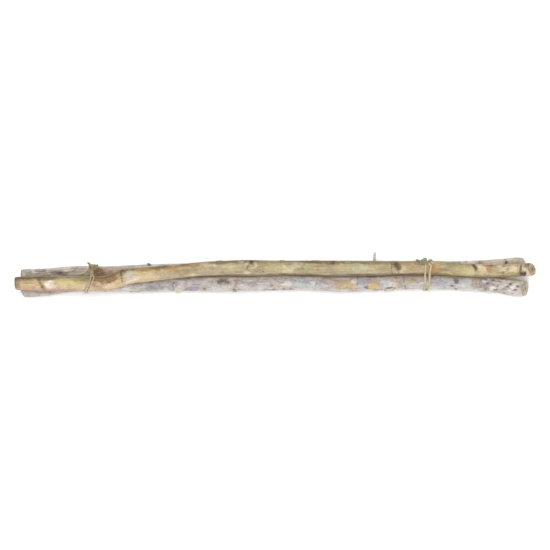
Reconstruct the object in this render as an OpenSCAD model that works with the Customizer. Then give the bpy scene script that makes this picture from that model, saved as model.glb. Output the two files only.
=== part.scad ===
// A bundle of three crooked natural sticks, held together by two ties of twine.
// Units are millimetres. The bundle lies along X on the plane Z = 0, with +Z up.
// X = 0 and Y = 0 are the middles of its length and of its width, between the two sticks that lie on the ground.
// Each stick is bark round wood round pith. Its shape is one row of stations: x, y, z, radius.

/* [Bundle] */
// length of the whole bundle, from cut end to cut end
bundle_length = 800; // [500:10:1200]
// thickness of a typical stick, which scales all three sticks together
stick_diameter = 22; // [16:0.5:36]
// gap left between parts that slide on each other
running_gap = 0.4; // [0.3:0.05:0.6]

/* [Stick layers] */
// thickness of the bark
bark_thickness = 1.4; // [0.8:0.1:2.4]
// thickness of the soft pith in the middle of the wood
pith_diameter = 3; // [2:0.2:5]
// gap between the layers of one stick, so that they never share volume
layer_gap = 0.06; // [0.04:0.01:0.1]

/* [Twine] */
// thickness of the twine
twine_diameter = 3; // [2:0.1:4]
// thickness of the twine where it is pulled tight in the knots
knot_twine_diameter = 2.2; // [1.6:0.1:2.6]
// middle of the left tie along X
left_tie_x = -284.5; // [-292:0.5:-278]
// middle of the right tie along X
right_tie_x = 231; // [220:1:245]
// turns of twine in each tie
tie_turns = 2; // [1:1:3]
// distance between neighbouring turns beside the left knot
left_turn_pitch = 4.6; // [3.4:0.1:9]
// distance between neighbouring turns beside the right knot
right_turn_pitch = 8.6; // [3.4:0.1:12]
// distance between neighbouring turns opposite a knot
turn_pitch_opposite = 3.6; // [3.4:0.1:6]
// direction of the left knot round the bundle, in degrees from +Y towards +Z
left_knot_direction = 42; // [30:1:43]
// direction of the right knot round the bundle
right_knot_direction = 68; // [45:1:75]
// how far the left tie leans along X towards its knot
left_tie_lean = 5.5; // [0:0.5:7]
// how far the right tie leans along X towards its knot
right_tie_lean = 2.5; // [0:0.5:6]
// length of a knot along the bundle
knot_length = 14; // [13:0.5:20]
// width of a knot across the bundle
knot_width = 10.5; // [10:0.5:15]

/* [Fineness] */
// sides of each stick, an even number
stick_sides = 14; // [10:2:24]
// rings along each stick
stick_rings = 42; // [42:1:80]
// sides of the twine
twine_sides = 8; // [6:1:12]
// degrees between rings of twine
twine_step = 10; // [8:1:20]

/* [Hidden] */
kx = bundle_length / 800;
ks = stick_diameter / 22;
pith_sides = stick_sides / 2;
twine_radius = twine_diameter / 2;

// stations of each stick: x, y, z and radius
front_shape = [
    [-399, -15.5, 32.4, 10.0], [-372, -16.3, 34.2, 10.4], [-330, -16.6, 37.0, 11.0],
    [-310, -16.6, 37.1, 11.0], [-272, -16.6, 37.1, 11.0], [-264, -16.6, 37.1, 11.0],
    [-252, -13.9, 38.1, 11.8], [-240, -10.3, 39.3, 13.1], [-224, -6.3, 39.3, 12.1],
    [-192, -2.2, 38.4, 11.1], [-146, 2.8, 37.6, 10.7],
    [-108, 6.4, 37.5, 10.8], [-72, 7.9, 37.7, 11.0], [-39, 8.4, 37.9, 11.3],
    [-8, 8.1, 37.9, 10.8], [37, 7.9, 38.0, 10.9],
    [129, 7.7, 37.4, 10.9], [190, 8.0, 36.8, 10.5], [230, 8.0, 36.8, 10.5],
    [256, 7.6, 36.6, 10.4], [284, 4.9, 36.2, 9.8],
    [313, 3.8, 35.6, 9.7], [359, 4.5, 34.4, 9.5],
    [393, 6.6, 33.7, 9.9]
];
back_shape = [
    [-390, 2.0, 10.5, 10.4], [-350, 3.2, 11.6, 10.3], [-318, 6.2, 13.4, 9.9],
    [-246, 6.7, 13.9, 9.9], [-192, 9.1, 14.8, 10.1], [-116, 11.1, 15.0, 10.1],
    [-8, 13.8, 15.0, 10.0], [84, 15.0, 15.0, 10.0], [152, 14.8, 14.8, 10.0],
    [188, 14.1, 14.4, 10.0], [206, 14.0, 14.3, 10.0], [262, 14.0, 14.3, 10.0],
    [284, 14.2, 14.1, 10.0], [316, 15.8, 13.1, 10.3],
    [350, 18.4, 11.7, 10.6], [369, 20.1, 10.9, 10.8], [384, 20.8, 10.5, 10.2]
];
lower_shape = [
    [-390, -20.3, 10.4, 10.3], [-350, -18.6, 12.0, 10.4], [-318, -14.6, 14.4, 9.9],
    [-254, -13.8, 15.0, 9.9], [-192, -12.7, 16.2, 10.9], [-146, -11.7, 16.8, 11.1],
    [-92, -12.0, 16.8, 11.4], [-8, -10.6, 16.6, 11.2], [37, -9.6, 16.4, 11.2],
    [91, -12.2, 16.6, 11.5], [152, -11.0, 16.2, 11.3], [196, -8.8, 15.6, 11.1],
    [270, -9.0, 15.2, 11.1], [313, -11.5, 14.4, 11.3], [344, -13.4, 13.3, 11.6],
    [365, -16.9, 12.7, 12.6], [383, -18.2, 12.5, 11.8]
];

// slant of each stick's left and right cut: how far the cut runs back along the stick
// for each millimetre towards +Y and towards +Z
front_cut = [[0.08, -0.04], [0, 0.7]];
back_cut = [[0.06, -0.1], [0.4, 0.1]];
lower_cut = [[0.43, 0], [-0.25, 0.45]];

// the stations are moved by this much, so that Y = 0 is the middle of the bundle's whole width
// and the lowest point of the bark touches Z = 0
middle_y = 2.2;
ground_z = 0.1;
// the stations at the size asked for
function sized(shape) =
    [for (p = shape) [p[0] * kx, (p[1] - middle_y) * ks, (p[2] - ground_z) * ks, p[3] * ks]];
front = sized(front_shape);
back = sized(back_shape);
lower = sized(lower_shape);

// smooth curve through the stations: column k at position x
function last(s) = len(s) - 1;
function find(s, x, i = 0) = (i >= last(s) - 1 || x < s[i + 1][0]) ? i : find(s, x, i + 1);
function rise(s, i, k) = (s[i + 1][k] - s[i][k]) / (s[i + 1][0] - s[i][0]);
function run(s, i) = s[i + 1][0] - s[i][0];
function bend(s, i, k) =
    i == 0 ? rise(s, 0, k)
    : i == last(s) ? rise(s, i - 1, k)
    : (rise(s, i - 1, k) * run(s, i) + rise(s, i, k) * run(s, i - 1)) / (run(s, i) + run(s, i - 1));
function blend(s, i, k, h, t) =
    (2 * t * t * t - 3 * t * t + 1) * s[i][k]
    + (t * t * t - 2 * t * t + t) * h * bend(s, i, k)
    + (3 * t * t - 2 * t * t * t) * s[i + 1][k]
    + (t * t * t - t * t) * h * bend(s, i + 1, k);
function at(s, x, k) =
    let (i = find(s, x), h = run(s, i))
    blend(s, i, k, h, (x - s[i][0]) / h);

// point on or inside a stick's surface: x along, a round it, in steps down from the outside
function skin(s, x, a, inset) =
    let (r = at(s, x, 3) - inset)
    [x, at(s, x, 1) + r * cos(a), at(s, x, 2) + r * sin(a)];
function station(s, i) = s[0][0] + (s[last(s)][0] - s[0][0]) * i / (stick_rings - 1);
// the first and last rings lie in the slanted plane of the cut
function slant(cuts, i, a) =
    i == 0 ? -cuts[0][0] * cos(a) - cuts[0][1] * sin(a)
    : i == stick_rings - 1 ? -cuts[1][0] * cos(a) - cuts[1][1] * sin(a)
    : 0;
// the rings are turned so that one row of points lies at the very bottom
function round_ring(s, cuts, i, n, turn, r) =
    let (x = station(s, i))
    [for (j = [0 : n - 1]) let (a = 360 * (j + turn) / n)
        [x + r * slant(cuts, i, a), at(s, x, 1) + r * cos(a), at(s, x, 2) + r * sin(a)]];
function ring(s, cuts, i, n, inset) =
    round_ring(s, cuts, i, n, 0.5, at(s, station(s, i), 3) - inset);
function core_ring(s, cuts, i, n, r) = round_ring(s, cuts, i, n, 0.25, r);

// triangles between ring i and ring i + 1, each of n points, starting at point number base
function wall(base, n, rings, flip) =
    [for (i = [0 : rings - 2], j = [0 : n - 1], half = [0, 1])
        let (
            a = base + i * n + j,
            b = base + i * n + (j + 1) % n,
            tri = half == 0 ? [a, a + n, b] : [b, a + n, b + n]
        )
        flip ? [tri[2], tri[1], tri[0]] : tri];

// tube with an outside and a bore that have the same number of sides
module sleeve(s, cuts, outer_inset, inner_inset) {
    n = stick_sides;
    m = stick_rings;
    outside = [for (i = [0 : m - 1]) each ring(s, cuts, i, n, outer_inset)];
    bore = [for (i = [0 : m - 1]) each ring(s, cuts, i, n, inner_inset)];
    start = n * m;
    first_end = [for (j = [0 : n - 1]) let (k = (j + 1) % n) [j, k, start + k, start + j]];
    far = n * (m - 1);
    far_end = [for (j = [0 : n - 1]) let (k = (j + 1) % n)
        [far + k, far + j, start + far + j, start + far + k]];
    polyhedron(
        points = concat(outside, bore),
        faces = concat(wall(0, n, m, false), wall(start, n, m, true), first_end, far_end),
        convexity = 8
    );
}

// the wood: the outside has twice as many sides as the bore for the pith
module heartwood(s, cuts, outer_inset, bore_radius) {
    n = stick_sides;
    h = pith_sides;
    m = stick_rings;
    outside = [for (i = [0 : m - 1]) each ring(s, cuts, i, n, outer_inset)];
    bore = [for (i = [0 : m - 1]) each core_ring(s, cuts, i, h, bore_radius)];
    start = n * m;
    far = n * (m - 1);
    far_bore = start + h * (m - 1);
    near_end = [for (j = [0 : h - 1]) let (k = (j + 1) % h, o = 2 * j)
        each [[start + j, o, o + 1], [start + j, o + 1, start + k], [start + k, o + 1, (o + 2) % n]]];
    far_end = [for (j = [0 : h - 1]) let (k = (j + 1) % h, o = far + 2 * j, e = far + (2 * j + 2) % n)
        each [[far_bore + j, o + 1, o], [far_bore + j, far_bore + k, o + 1], [far_bore + k, e, o + 1]]];
    polyhedron(
        points = concat(outside, bore),
        faces = concat(wall(0, n, m, false), wall(start, h, m, true), near_end, far_end),
        convexity = 8
    );
}

// the pith: a thin rod down the middle of the wood
module core(s, cuts, r) {
    h = pith_sides;
    m = stick_rings;
    points = [for (i = [0 : m - 1]) each core_ring(s, cuts, i, h, r)];
    polyhedron(
        points = points,
        faces = concat(
            wall(0, h, m, false),
            [[for (j = [0 : h - 1]) j]],
            [[for (j = [h - 1 : -1 : 0]) h * (m - 1) + j]]
        ),
        convexity = 8
    );
}

// a stub, bud or wart that grows from the bark at x, in direction a round the stick
// and leans along the stick by lean as it grows to its height
module stub(s, x, a, base_radius, tip_radius, height, lean) {
    sides = 10;
    levels = 4;
    foot = 0.28;
    radius = at(s, x, 3);
    function grow(t) = base_radius + (tip_radius - base_radius) * t;
    function stub_point(t, j) =
        let (
            along = grow(t) * cos(360 * j / sides),
            across = grow(t) * sin(360 * j / sides),
            turn = (across / radius) * 180 / PI,
            lift = foot + height * t,
            base = skin(s, x + along + lean * t, a + turn, -lift)
        )
        base;
    foot_middle = skin(s, x, a, -foot);
    tip_middle = skin(s, x + lean, a, -foot - height - 0.25 * tip_radius);
    rings = [for (i = [0 : levels - 1], j = [0 : sides - 1])
        stub_point(i == 1 ? 0.25 : i / (levels - 1), j)];
    top = sides * (levels - 1);
    polyhedron(
        points = concat(rings, [foot_middle, tip_middle]),
        faces = concat(
            [for (f = wall(0, sides, levels, true)) f],
            [for (j = [0 : sides - 1]) [j, (j + 1) % sides, sides * levels]],
            [for (j = [0 : sides - 1]) [top + (j + 1) % sides, top + j, sides * levels + 1]]
        ),
        convexity = 4
    );
}

// a flake of loose bark over x0 to x1 and a0 to a1 that lifts towards a1 by the height lift
module flake(s, x0, x1, a0, a1, thickness, lift) {
    rows = 6;
    columns = max(4, ceil((a1 - a0) / 11) + 1);
    bottom = 0.3;
    function raised(u) = bottom + lift * u * u;
    function inner_point(i, j) =
        let (u = j / (columns - 1), v = i / (rows - 1))
        skin(s, x0 + (x1 - x0) * v, a0 + (a1 - a0) * u, -raised(u));
    function outer_point(i, j) =
        let (
            u = j / (columns - 1),
            v = i / (rows - 1),
            thin = (i == 0 || i == rows - 1 || j == 0 || j == columns - 1) ? 0.5 : 1
        )
        skin(s, x0 + (x1 - x0) * v, a0 + (a1 - a0) * u, -raised(u) - thickness * thin);
    under = [for (i = [0 : rows - 1], j = [0 : columns - 1]) inner_point(i, j)];
    over = [for (i = [0 : rows - 1], j = [0 : columns - 1]) outer_point(i, j)];
    k = rows * columns;
    function pair(p, q, r, t) = [[p, q, r], [p, r, t]];
    over_faces = [for (i = [0 : rows - 2], j = [0 : columns - 2]) let (p = k + i * columns + j)
        each pair(p, p + columns, p + columns + 1, p + 1)];
    under_faces = [for (i = [0 : rows - 2], j = [0 : columns - 2]) let (p = i * columns + j)
        each pair(p, p + 1, p + columns + 1, p + columns)];
    near_faces = [for (j = [0 : columns - 2]) each pair(j, k + j, k + j + 1, j + 1)];
    far_row = (rows - 1) * columns;
    far_faces = [for (j = [0 : columns - 2])
        each pair(far_row + j + 1, k + far_row + j + 1, k + far_row + j, far_row + j)];
    first_faces = [for (i = [0 : rows - 2]) let (p = i * columns)
        each pair(p + columns, k + p + columns, k + p, p)];
    last_faces = [for (i = [0 : rows - 2]) let (p = i * columns + columns - 1)
        each pair(p, k + p, k + p + columns, p + columns)];
    polyhedron(
        points = concat(under, over),
        faces = concat(over_faces, under_faces, near_faces, far_faces, first_faces, last_faces),
        convexity = 6
    );
}

// direction of a vector
function unit(v) = v / norm(v);

// round cord along a row of points, closed on itself or with flat ends
// its rings are laid out from the direction hint, which the path never runs along
module cord(path, r, closed, hint) {
    n = twine_sides;
    m = len(path);
    function before(i) = closed ? path[(i + m - 1) % m] : path[max(i - 1, 0)];
    function after(i) = closed ? path[(i + 1) % m] : path[min(i + 1, m - 1)];
    function along(i) = unit(after(i) - before(i));
    function cord_ring(i) =
        let (u = unit(cross(along(i), cross(hint, along(i)))), v = cross(along(i), u))
        [for (j = [0 : n - 1]) path[i] + r * (cos(360 * j / n) * u + sin(360 * j / n) * v)];
    points = [for (i = [0 : m - 1]) each cord_ring(i)];
    seam = [for (j = [0 : n - 1], half = [0, 1])
        let (
            a = (m - 1) * n + j,
            b = (m - 1) * n + (j + 1) % n,
            c = j,
            d = (j + 1) % n
        )
        half == 0 ? [b, c, a] : [b, d, c]];
    ends = [[for (j = [n - 1 : -1 : 0]) j], [for (j = [0 : n - 1]) (m - 1) * n + j]];
    polyhedron(
        points = points,
        faces = concat(wall(0, n, m, true), closed ? seam : ends),
        convexity = 10
    );
}

// each tie: its middle along X, the direction of its knot, its lean, the pitch of its turns there,
// and how far the knot sits along the bundle and round it from the middle of the turns
left_tie = [left_tie_x * kx, left_knot_direction, left_tie_lean, left_turn_pitch, 4.5, 14];
right_tie = [right_tie_x * kx, right_knot_direction, right_tie_lean, right_turn_pitch, -6.5, 0];
function outwards(tie) = [0, cos(tie[1]), sin(tie[1])];
// place along X of the middle of a tie's turns in direction t
function middle(tie, t) = tie[0] + tie[2] * cos(t - tie[1]);

// outline of a taut turn round all three sticks, in the plane of the tie
function circle_at(s, x) = [at(s, x, 1), at(s, x, 2), at(s, x, 3)];
function circles(x) = [circle_at(front, x), circle_at(back, x), circle_at(lower, x)];
function reach(c, t) = c[0] * cos(t) + c[1] * sin(t) + c[2];
function farthest(cs, t) =
    let (f = [for (c = cs) reach(c, t)])
    f[0] >= f[1] && f[0] >= f[2] ? cs[0] : f[1] >= f[2] ? cs[1] : cs[2];
function round_all(x, t, offset) =
    let (c = farthest(circles(x), t))
    [c[0] + (c[2] + offset) * cos(t), c[1] + (c[2] + offset) * sin(t)];

// the distance between neighbouring turns, d degrees round from the knot
function spread(tie, d) = turn_pitch_opposite + (tie[3] - turn_pitch_opposite) * (1 + cos(d)) / 2;
// place along the bundle of a turn that has gone d degrees from the knot
function advance(tie, d) =
    let (
        whole = floor(d / 360),
        part = d - 360 * whole,
        crossing = 40,
        early = whole > 0 && part < crossing / 2 ? part / crossing - 0.5 : 0,
        late = whole < tie_turns - 1 && part > 360 - crossing / 2 ? (part - 360) / crossing + 0.5 : 0
    )
    (whole - (tie_turns - 1) / 2 + early + late) * spread(tie, d);
function tie_path(tie) =
    let (offset = twine_radius + running_gap, steps = round(360 * tie_turns / twine_step))
    [for (i = [0 : steps])
        let (
            d = i * 360 * tie_turns / steps,
            x = middle(tie, tie[1] + d),
            p = round_all(x, tie[1] + d, offset)
        )
        [x + advance(tie, d), p[0], p[1]]];

// a point beside the knot: u along the bundle, v round it, w outwards from the turns
function knot_point(tie, u, v, w) =
    let (
        t = tie[1],
        x = middle(tie, t) + tie[4],
        base = round_all(x, t, running_gap + twine_diameter + 0.25),
        side = [0, -sin(t), cos(t)]
    )
    [x + u, base[0], base[1]] + (v + tie[5]) * side + w * outwards(tie);
// overhand loop: passes over itself three times, and keeps far enough apart for its own thickness
knot_radius = knot_twine_diameter / 2;
function knot_path(tie) =
    let (half = 0.78 * knot_twine_diameter)
    [for (i = [0 : 59])
        let (t = 6 * i, wave = sin(3 * t))
        knot_point(
            tie,
            (sin(t) + 2 * sin(2 * t)) * (knot_length - knot_twine_diameter) / 5.4,
            (cos(t) - 2 * cos(2 * t)) * (knot_width - knot_twine_diameter) / 5.2,
            half + knot_radius - wave * (1.4 - 0.4 * wave * wave) * half
        )];
// cut end that leaves the knot at u0 and v0, rises by w1, and ends at u1 and v1
function tail_path(tie, u0, v0, u1, v1, w1) =
    [for (i = [0 : 6])
        let (t = i / 6)
        knot_point(
            tie,
            u0 + (u1 - u0) * t,
            v0 + (v1 - v0) * t * t,
            twine_radius + w1 * t * (2 - t) + 1.2 * sin(180 * t)
        )];
// cut end that lies along a stick, from x0 to x1, while it goes round it from a0 to a1
// and comes down from height h0 to h1 above the bark
function lying_path(s, x0, x1, a0, a1, h0, h1) =
    [for (i = [0 : 12])
        let (t = i / 12)
        skin(s, x0 + (x1 - x0) * t, a0 + (a1 - a0) * t * (2 - t), -h1 - (h0 - h1) * (1 - t) * (1 - t))];

wood_inset = bark_thickness + layer_gap;
bore_radius = pith_diameter / 2 + layer_gap;

module front_bark() color([0.62, 0.53, 0.34]) sleeve(front, front_cut, 0, bark_thickness);
module front_wood() color([0.84, 0.72, 0.52]) heartwood(front, front_cut, wood_inset, bore_radius);
module front_pith() color([0.55, 0.38, 0.24]) core(front, front_cut, pith_diameter / 2);

// broken side twigs on the knotty swelling, a side knot in the middle and one near the right end
module front_stubs() color([0.30, 0.24, 0.16]) {
    stub(front, -259 * kx, 200, 2.2, 1.2, 2.4, -1);
    stub(front, -250 * kx, 208, 2.4, 1.0, 3.2, 1);
    stub(front, -239 * kx, 200, 2.0, 1.0, 2.6, 2);
    stub(front, -35 * kx, 62, 4.4, 2.6, 1.8, -2);
    stub(front, 379 * kx, 150, 4.2, 2.2, 1.6, 1);
}

// torn strips on the swelling and rough scales further along
module front_flakes() color([0.56, 0.43, 0.27]) {
    flake(front, -260 * kx, -238 * kx, 70, 118, 1.0, 1.2);
    flake(front, -234 * kx, -212 * kx, 30, 66, 0.9, 0.9);
    flake(front, 338 * kx, 360 * kx, 66, 120, 0.8, 0.5);
}

module back_bark() color([0.55, 0.50, 0.43]) sleeve(back, back_cut, 0, bark_thickness);
module back_wood() color([0.83, 0.72, 0.54]) heartwood(back, back_cut, wood_inset, bore_radius);
module back_pith() color([0.55, 0.38, 0.24]) core(back, back_cut, pith_diameter / 2);

// a bud, a dry upright stalk and two lumps near the right end
module back_stubs() color([0.42, 0.41, 0.33]) {
    stub(back, -193 * kx, 40, 3.6, 1.6, 2.8, -2);
    stub(back, 151 * kx, 36, 2.3, 1.8, 13.5, 1.5);
    stub(back, 279 * kx, 50, 3.0, 1.8, 1.4, 2);
    stub(back, 291 * kx, 44, 2.6, 1.4, 1.2, 1);
}

// loose scales at the left end and beside the lumps
module back_flakes() color([0.47, 0.42, 0.36]) {
    flake(back, -372 * kx, -346 * kx, 40, 76, 0.8, 0.6);
    flake(back, 352 * kx, 376 * kx, 92, 140, 0.8, 0.6);
}

module lower_bark() color([0.78, 0.73, 0.68]) sleeve(lower, lower_cut, 0, bark_thickness);
module lower_wood() color([0.86, 0.75, 0.58]) heartwood(lower, lower_cut, wood_inset, bore_radius);
module lower_pith() color([0.55, 0.38, 0.24]) core(lower, lower_cut, pith_diameter / 2);

// a yellow wart, a bump and a round knot
module lower_stubs() color([0.66, 0.55, 0.30]) {
    stub(lower, -149 * kx, 202, 3.6, 1.4, 3.6, 0);
    stub(lower, -64 * kx, 200, 4.4, 2.6, 1.4, 2);
    stub(lower, 276 * kx, 160, 4.0, 2.4, 1.4, 0);
}

// a curl of bark and flakes of papery bark
module lower_flakes() color([0.82, 0.78, 0.70]) {
    flake(lower, 166 * kx, 183 * kx, 156, 214, 0.8, 1.8);
    flake(lower, 10 * kx, 26 * kx, 150, 184, 0.7, 0.7);
    flake(lower, -226 * kx, -204 * kx, 170, 206, 0.7, 0.8);
    flake(lower, 336 * kx, 354 * kx, 140, 182, 0.8, 0.9);
}

module left_tie_wraps() color([0.80, 0.70, 0.52]) cord(tie_path(left_tie), twine_radius, false, [1, 0, 0]);
module left_tie_knot() color([0.52, 0.49, 0.36])
    cord(knot_path(left_tie), knot_radius, true, outwards(left_tie));
// one end stands up like a thorn and the other lies over the back stick
module left_tie_tails() color([0.80, 0.70, 0.52]) {
    cord(tail_path(left_tie, -8.7, -1.5, -12.2, -5, 6.2), twine_radius, false, [0, 1, 0]);
    cord(lying_path(back, -286 * kx, -301 * kx, 80, 116, 6.4, 2.0), twine_radius, false, [0, 1, 0]);
}

module right_tie_wraps() color([0.80, 0.70, 0.52]) cord(tie_path(right_tie), twine_radius, false, [1, 0, 0]);
module right_tie_knot() color([0.52, 0.49, 0.36])
    cord(knot_path(right_tie), knot_radius, true, outwards(right_tie));
module right_tie_tails() color([0.80, 0.70, 0.52]) {
    cord(tail_path(right_tie, -8.7, -1, -12.5, -2, 1.2), twine_radius, false, [0, 1, 0]);
    cord(tail_path(right_tie, 8.7, -1, 11.5, -2, 0.4), twine_radius, false, [0, 1, 0]);
}

front_bark();
front_wood();
front_pith();
front_stubs();
front_flakes();
back_bark();
back_wood();
back_pith();
back_stubs();
back_flakes();
lower_bark();
lower_wood();
lower_pith();
lower_stubs();
lower_flakes();
left_tie_wraps();
left_tie_knot();
left_tie_tails();
right_tie_wraps();
right_tie_knot();
right_tie_tails();
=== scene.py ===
"""Visual model of a bundle of three natural sticks tied with twine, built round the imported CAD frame.

Lengths are in millimetres until a mesh is made, then in metres. X runs along the sticks, +Z is up,
and an angle round a stick is in degrees from +Y towards +Z, so 105 faces the camera.
"""

import math

import bpy
import numpy as np
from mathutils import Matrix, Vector


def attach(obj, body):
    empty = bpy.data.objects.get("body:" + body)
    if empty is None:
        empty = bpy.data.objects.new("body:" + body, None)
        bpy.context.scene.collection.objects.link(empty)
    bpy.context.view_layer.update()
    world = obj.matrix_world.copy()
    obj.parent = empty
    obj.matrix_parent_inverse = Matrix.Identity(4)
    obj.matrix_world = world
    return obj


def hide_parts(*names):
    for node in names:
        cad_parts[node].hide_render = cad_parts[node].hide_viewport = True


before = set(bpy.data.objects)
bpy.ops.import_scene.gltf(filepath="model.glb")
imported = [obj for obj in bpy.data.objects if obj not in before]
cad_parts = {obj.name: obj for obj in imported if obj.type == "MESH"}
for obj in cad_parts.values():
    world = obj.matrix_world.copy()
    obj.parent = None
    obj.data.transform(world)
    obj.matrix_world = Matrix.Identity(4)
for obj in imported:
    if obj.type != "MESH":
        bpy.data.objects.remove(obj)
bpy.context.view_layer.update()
MM = 0.001

# ---------------------------------------------------------------- camera

CAMERA_AIM = Vector((-0.0008, -0.0011, 0.020))
CAMERA_DISTANCE = 7.017
CAMERA_HEIGHT_DEGREES = 75


def add_camera():
    """A long lens on the near side that looks down steeply, as in the photograph."""
    data = bpy.data.cameras.new("camera")
    data.type = "PERSP"
    data.lens = 300
    data.sensor_width = 36
    data.clip_start = 0.1
    data.clip_end = 200
    camera = bpy.data.objects.new("camera", data)
    height = math.radians(CAMERA_HEIGHT_DEGREES)
    towards = Vector((0, -math.cos(height), math.sin(height)))
    camera.location = CAMERA_AIM + towards * CAMERA_DISTANCE
    camera.rotation_euler = (-towards).to_track_quat("-Z", "Y").to_euler()
    bpy.context.scene.collection.objects.link(camera)
    bpy.context.scene.camera = camera


add_camera()

# ---------------------------------------------------------------- routes, as in the CAD source

# stations of each stick: x, y, z, radius
ROUTES = {
    "front": [
        (-399, -15.5, 32.4, 10.0), (-372, -16.3, 34.2, 10.4), (-330, -16.6, 37.0, 11.0),
        (-310, -16.6, 37.1, 11.0), (-272, -16.6, 37.1, 11.0), (-264, -16.6, 37.1, 11.0),
        (-252, -13.9, 38.1, 11.8), (-240, -10.3, 39.3, 13.1), (-224, -6.3, 39.3, 12.1),
        (-192, -2.2, 38.4, 11.1), (-146, 2.8, 37.6, 10.7), (-108, 6.4, 37.5, 10.8),
        (-72, 7.9, 37.7, 11.0), (-39, 8.4, 37.9, 11.3), (-8, 8.1, 37.9, 10.8),
        (37, 7.9, 38.0, 10.9), (129, 7.7, 37.4, 10.9),
        (190, 8.0, 36.8, 10.5), (230, 8.0, 36.8, 10.5), (256, 7.6, 36.6, 10.4),
        (284, 4.9, 36.2, 9.8), (313, 3.8, 35.6, 9.7), (359, 4.5, 34.4, 9.5),
        (393, 6.6, 33.7, 9.9),
    ],
    "back": [
        (-390, 2.0, 10.5, 10.4), (-350, 3.2, 11.6, 10.3), (-318, 6.2, 13.4, 9.9),
        (-246, 6.7, 13.9, 9.9), (-192, 9.1, 14.8, 10.1), (-116, 11.1, 15.0, 10.1),
        (-8, 13.8, 15.0, 10.0), (84, 15.0, 15.0, 10.0), (152, 14.8, 14.8, 10.0),
        (188, 14.1, 14.4, 10.0), (206, 14.0, 14.3, 10.0), (262, 14.0, 14.3, 10.0),
        (284, 14.2, 14.1, 10.0), (316, 15.8, 13.1, 10.3), (350, 18.4, 11.7, 10.6),
        (369, 20.1, 10.9, 10.8), (384, 20.8, 10.5, 10.2),
    ],
    "lower": [
        (-390, -20.3, 10.4, 10.3), (-350, -18.6, 12.0, 10.4), (-318, -14.6, 14.4, 9.9),
        (-254, -13.8, 15.0, 9.9), (-192, -12.7, 16.2, 10.9), (-146, -11.7, 16.8, 11.1),
        (-92, -12.0, 16.8, 11.4), (-8, -10.6, 16.6, 11.2), (37, -9.6, 16.4, 11.2),
        (91, -12.2, 16.6, 11.5), (152, -11.0, 16.2, 11.3), (196, -8.8, 15.6, 11.1),
        (270, -9.0, 15.2, 11.1), (313, -11.5, 14.4, 11.3), (344, -13.4, 13.3, 11.6),
        (365, -16.9, 12.7, 12.6), (383, -18.2, 12.5, 11.8),
    ],
}
# slant of the left and right cut: how far it runs back for each millimetre towards +Y and +Z
CUTS = {
    "front": ((0.08, -0.04), (0.0, 0.7)),
    "back": ((0.06, -0.1), (0.4, 0.1)),
    "lower": ((0.43, 0.0), (-0.25, 0.45)),
}
# how far the edge of the left and right cut is worn back
WORN = {"front": (2.8, 1.6), "back": (1.2, 1.8), "lower": (1.2, 1.0)}
BARK = 1.4
PITH_RADIUS = 1.5
LAYER_GAP = 0.06
TWINE_RADIUS = 1.5
RUNNING_GAP = 0.4
# the knot's loop: radius of its cord, length along the bundle and width round it
KNOT_RADIUS = 1.1
KNOT_LENGTH = 14.0
KNOT_WIDTH = 10.5
# pitch of the turns on the side away from the knot
LOW_PITCH = 3.6
# each tie: its middle along X, the direction of its knot round the bundle, its lean along X
# towards the knot, the pitch of its turns there, and how far the knot sits along X and round
# the bundle from the middle of the turns
TIES = {"left_tie": (-284.5, 42.0, 5.5, 4.6, 4.5, 14.0), "right_tie": (231.0, 68.0, 2.5, 8.6, -6.5, 0.0)}
# the routes are moved by this much, so that Y = 0 is the middle of the width and Z = 0 the ground
MIDDLE_Y = 2.2
GROUND_Z = 0.1


def curve_at(route, x):
    """Centre y, z and radius of a stick at positions x, on a smooth curve through its stations."""
    s = np.asarray(ROUTES[route], float) - [0, MIDDLE_Y, GROUND_Z, 0]
    x = np.asarray(x, float)
    step = np.diff(s[:, 0])
    rise = np.diff(s[:, 1:], axis=0) / step[:, None]
    slope = np.empty_like(s[:, 1:])
    slope[0], slope[-1] = rise[0], rise[-1]
    before, after = step[:-1, None], step[1:, None]
    slope[1:-1] = (rise[:-1] * after + rise[1:] * before) / (before + after)
    i = np.clip(np.searchsorted(s[:, 0], x) - 1, 0, len(s) - 2)
    t = ((x - s[i, 0]) / step[i])[..., None]
    h = step[i][..., None]
    return (
        (2 * t**3 - 3 * t**2 + 1) * s[i, 1:]
        + (t**3 - 2 * t**2 + t) * h * slope[i]
        + (3 * t**2 - 2 * t**3) * s[i + 1, 1:]
        + (t**3 - t**2) * h * slope[i + 1]
    )


# ---------------------------------------------------------------- noise

def hashed(ix, iy, iz, seed):
    """A steady number from 0 to 1 for each lattice point. The big numbers only stir the bits."""
    h = (ix * 374761393 + iy * 668265263 + iz * 974634777 + seed * 1274126177) & 0xFFFFFFFF
    h = ((h ^ (h >> 13)) * 1274126177) & 0xFFFFFFFF
    h = ((h ^ (h >> 16)) * 668265263) & 0xFFFFFFFF
    return ((h ^ (h >> 15)) & 0xFFFFFF) / float(0xFFFFFF)


def noise(p, seed):
    """Smooth value noise from -1 to 1 at points p, whose last axis is x, y, z."""
    cell = np.floor(p)
    f = p - cell
    f = f * f * (3 - 2 * f)
    i = cell.astype(np.int64)
    total = 0.0
    for dx in (0, 1):
        wx = f[..., 0] if dx else 1 - f[..., 0]
        for dy in (0, 1):
            wy = f[..., 1] if dy else 1 - f[..., 1]
            for dz in (0, 1):
                wz = f[..., 2] if dz else 1 - f[..., 2]
                corner = hashed(i[..., 0] + dx, i[..., 1] + dy, i[..., 2] + dz, seed)
                total = total + wx * wy * wz * corner
    return 2 * total - 1


def fbm(p, size, octaves, seed, stretch=1.0):
    """Layered noise. size is the coarsest feature in mm, and stretch lengthens it along X."""
    scale = np.array([1 / (size * stretch), 1 / size, 1 / size])
    total, weight, norm = 0.0, 1.0, 0.0
    for k in range(octaves):
        total = total + weight * noise(p * scale * 2.03**k + 17.3 * k, seed + 31 * k)
        norm += weight
        weight *= 0.55
    return total / norm


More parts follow.
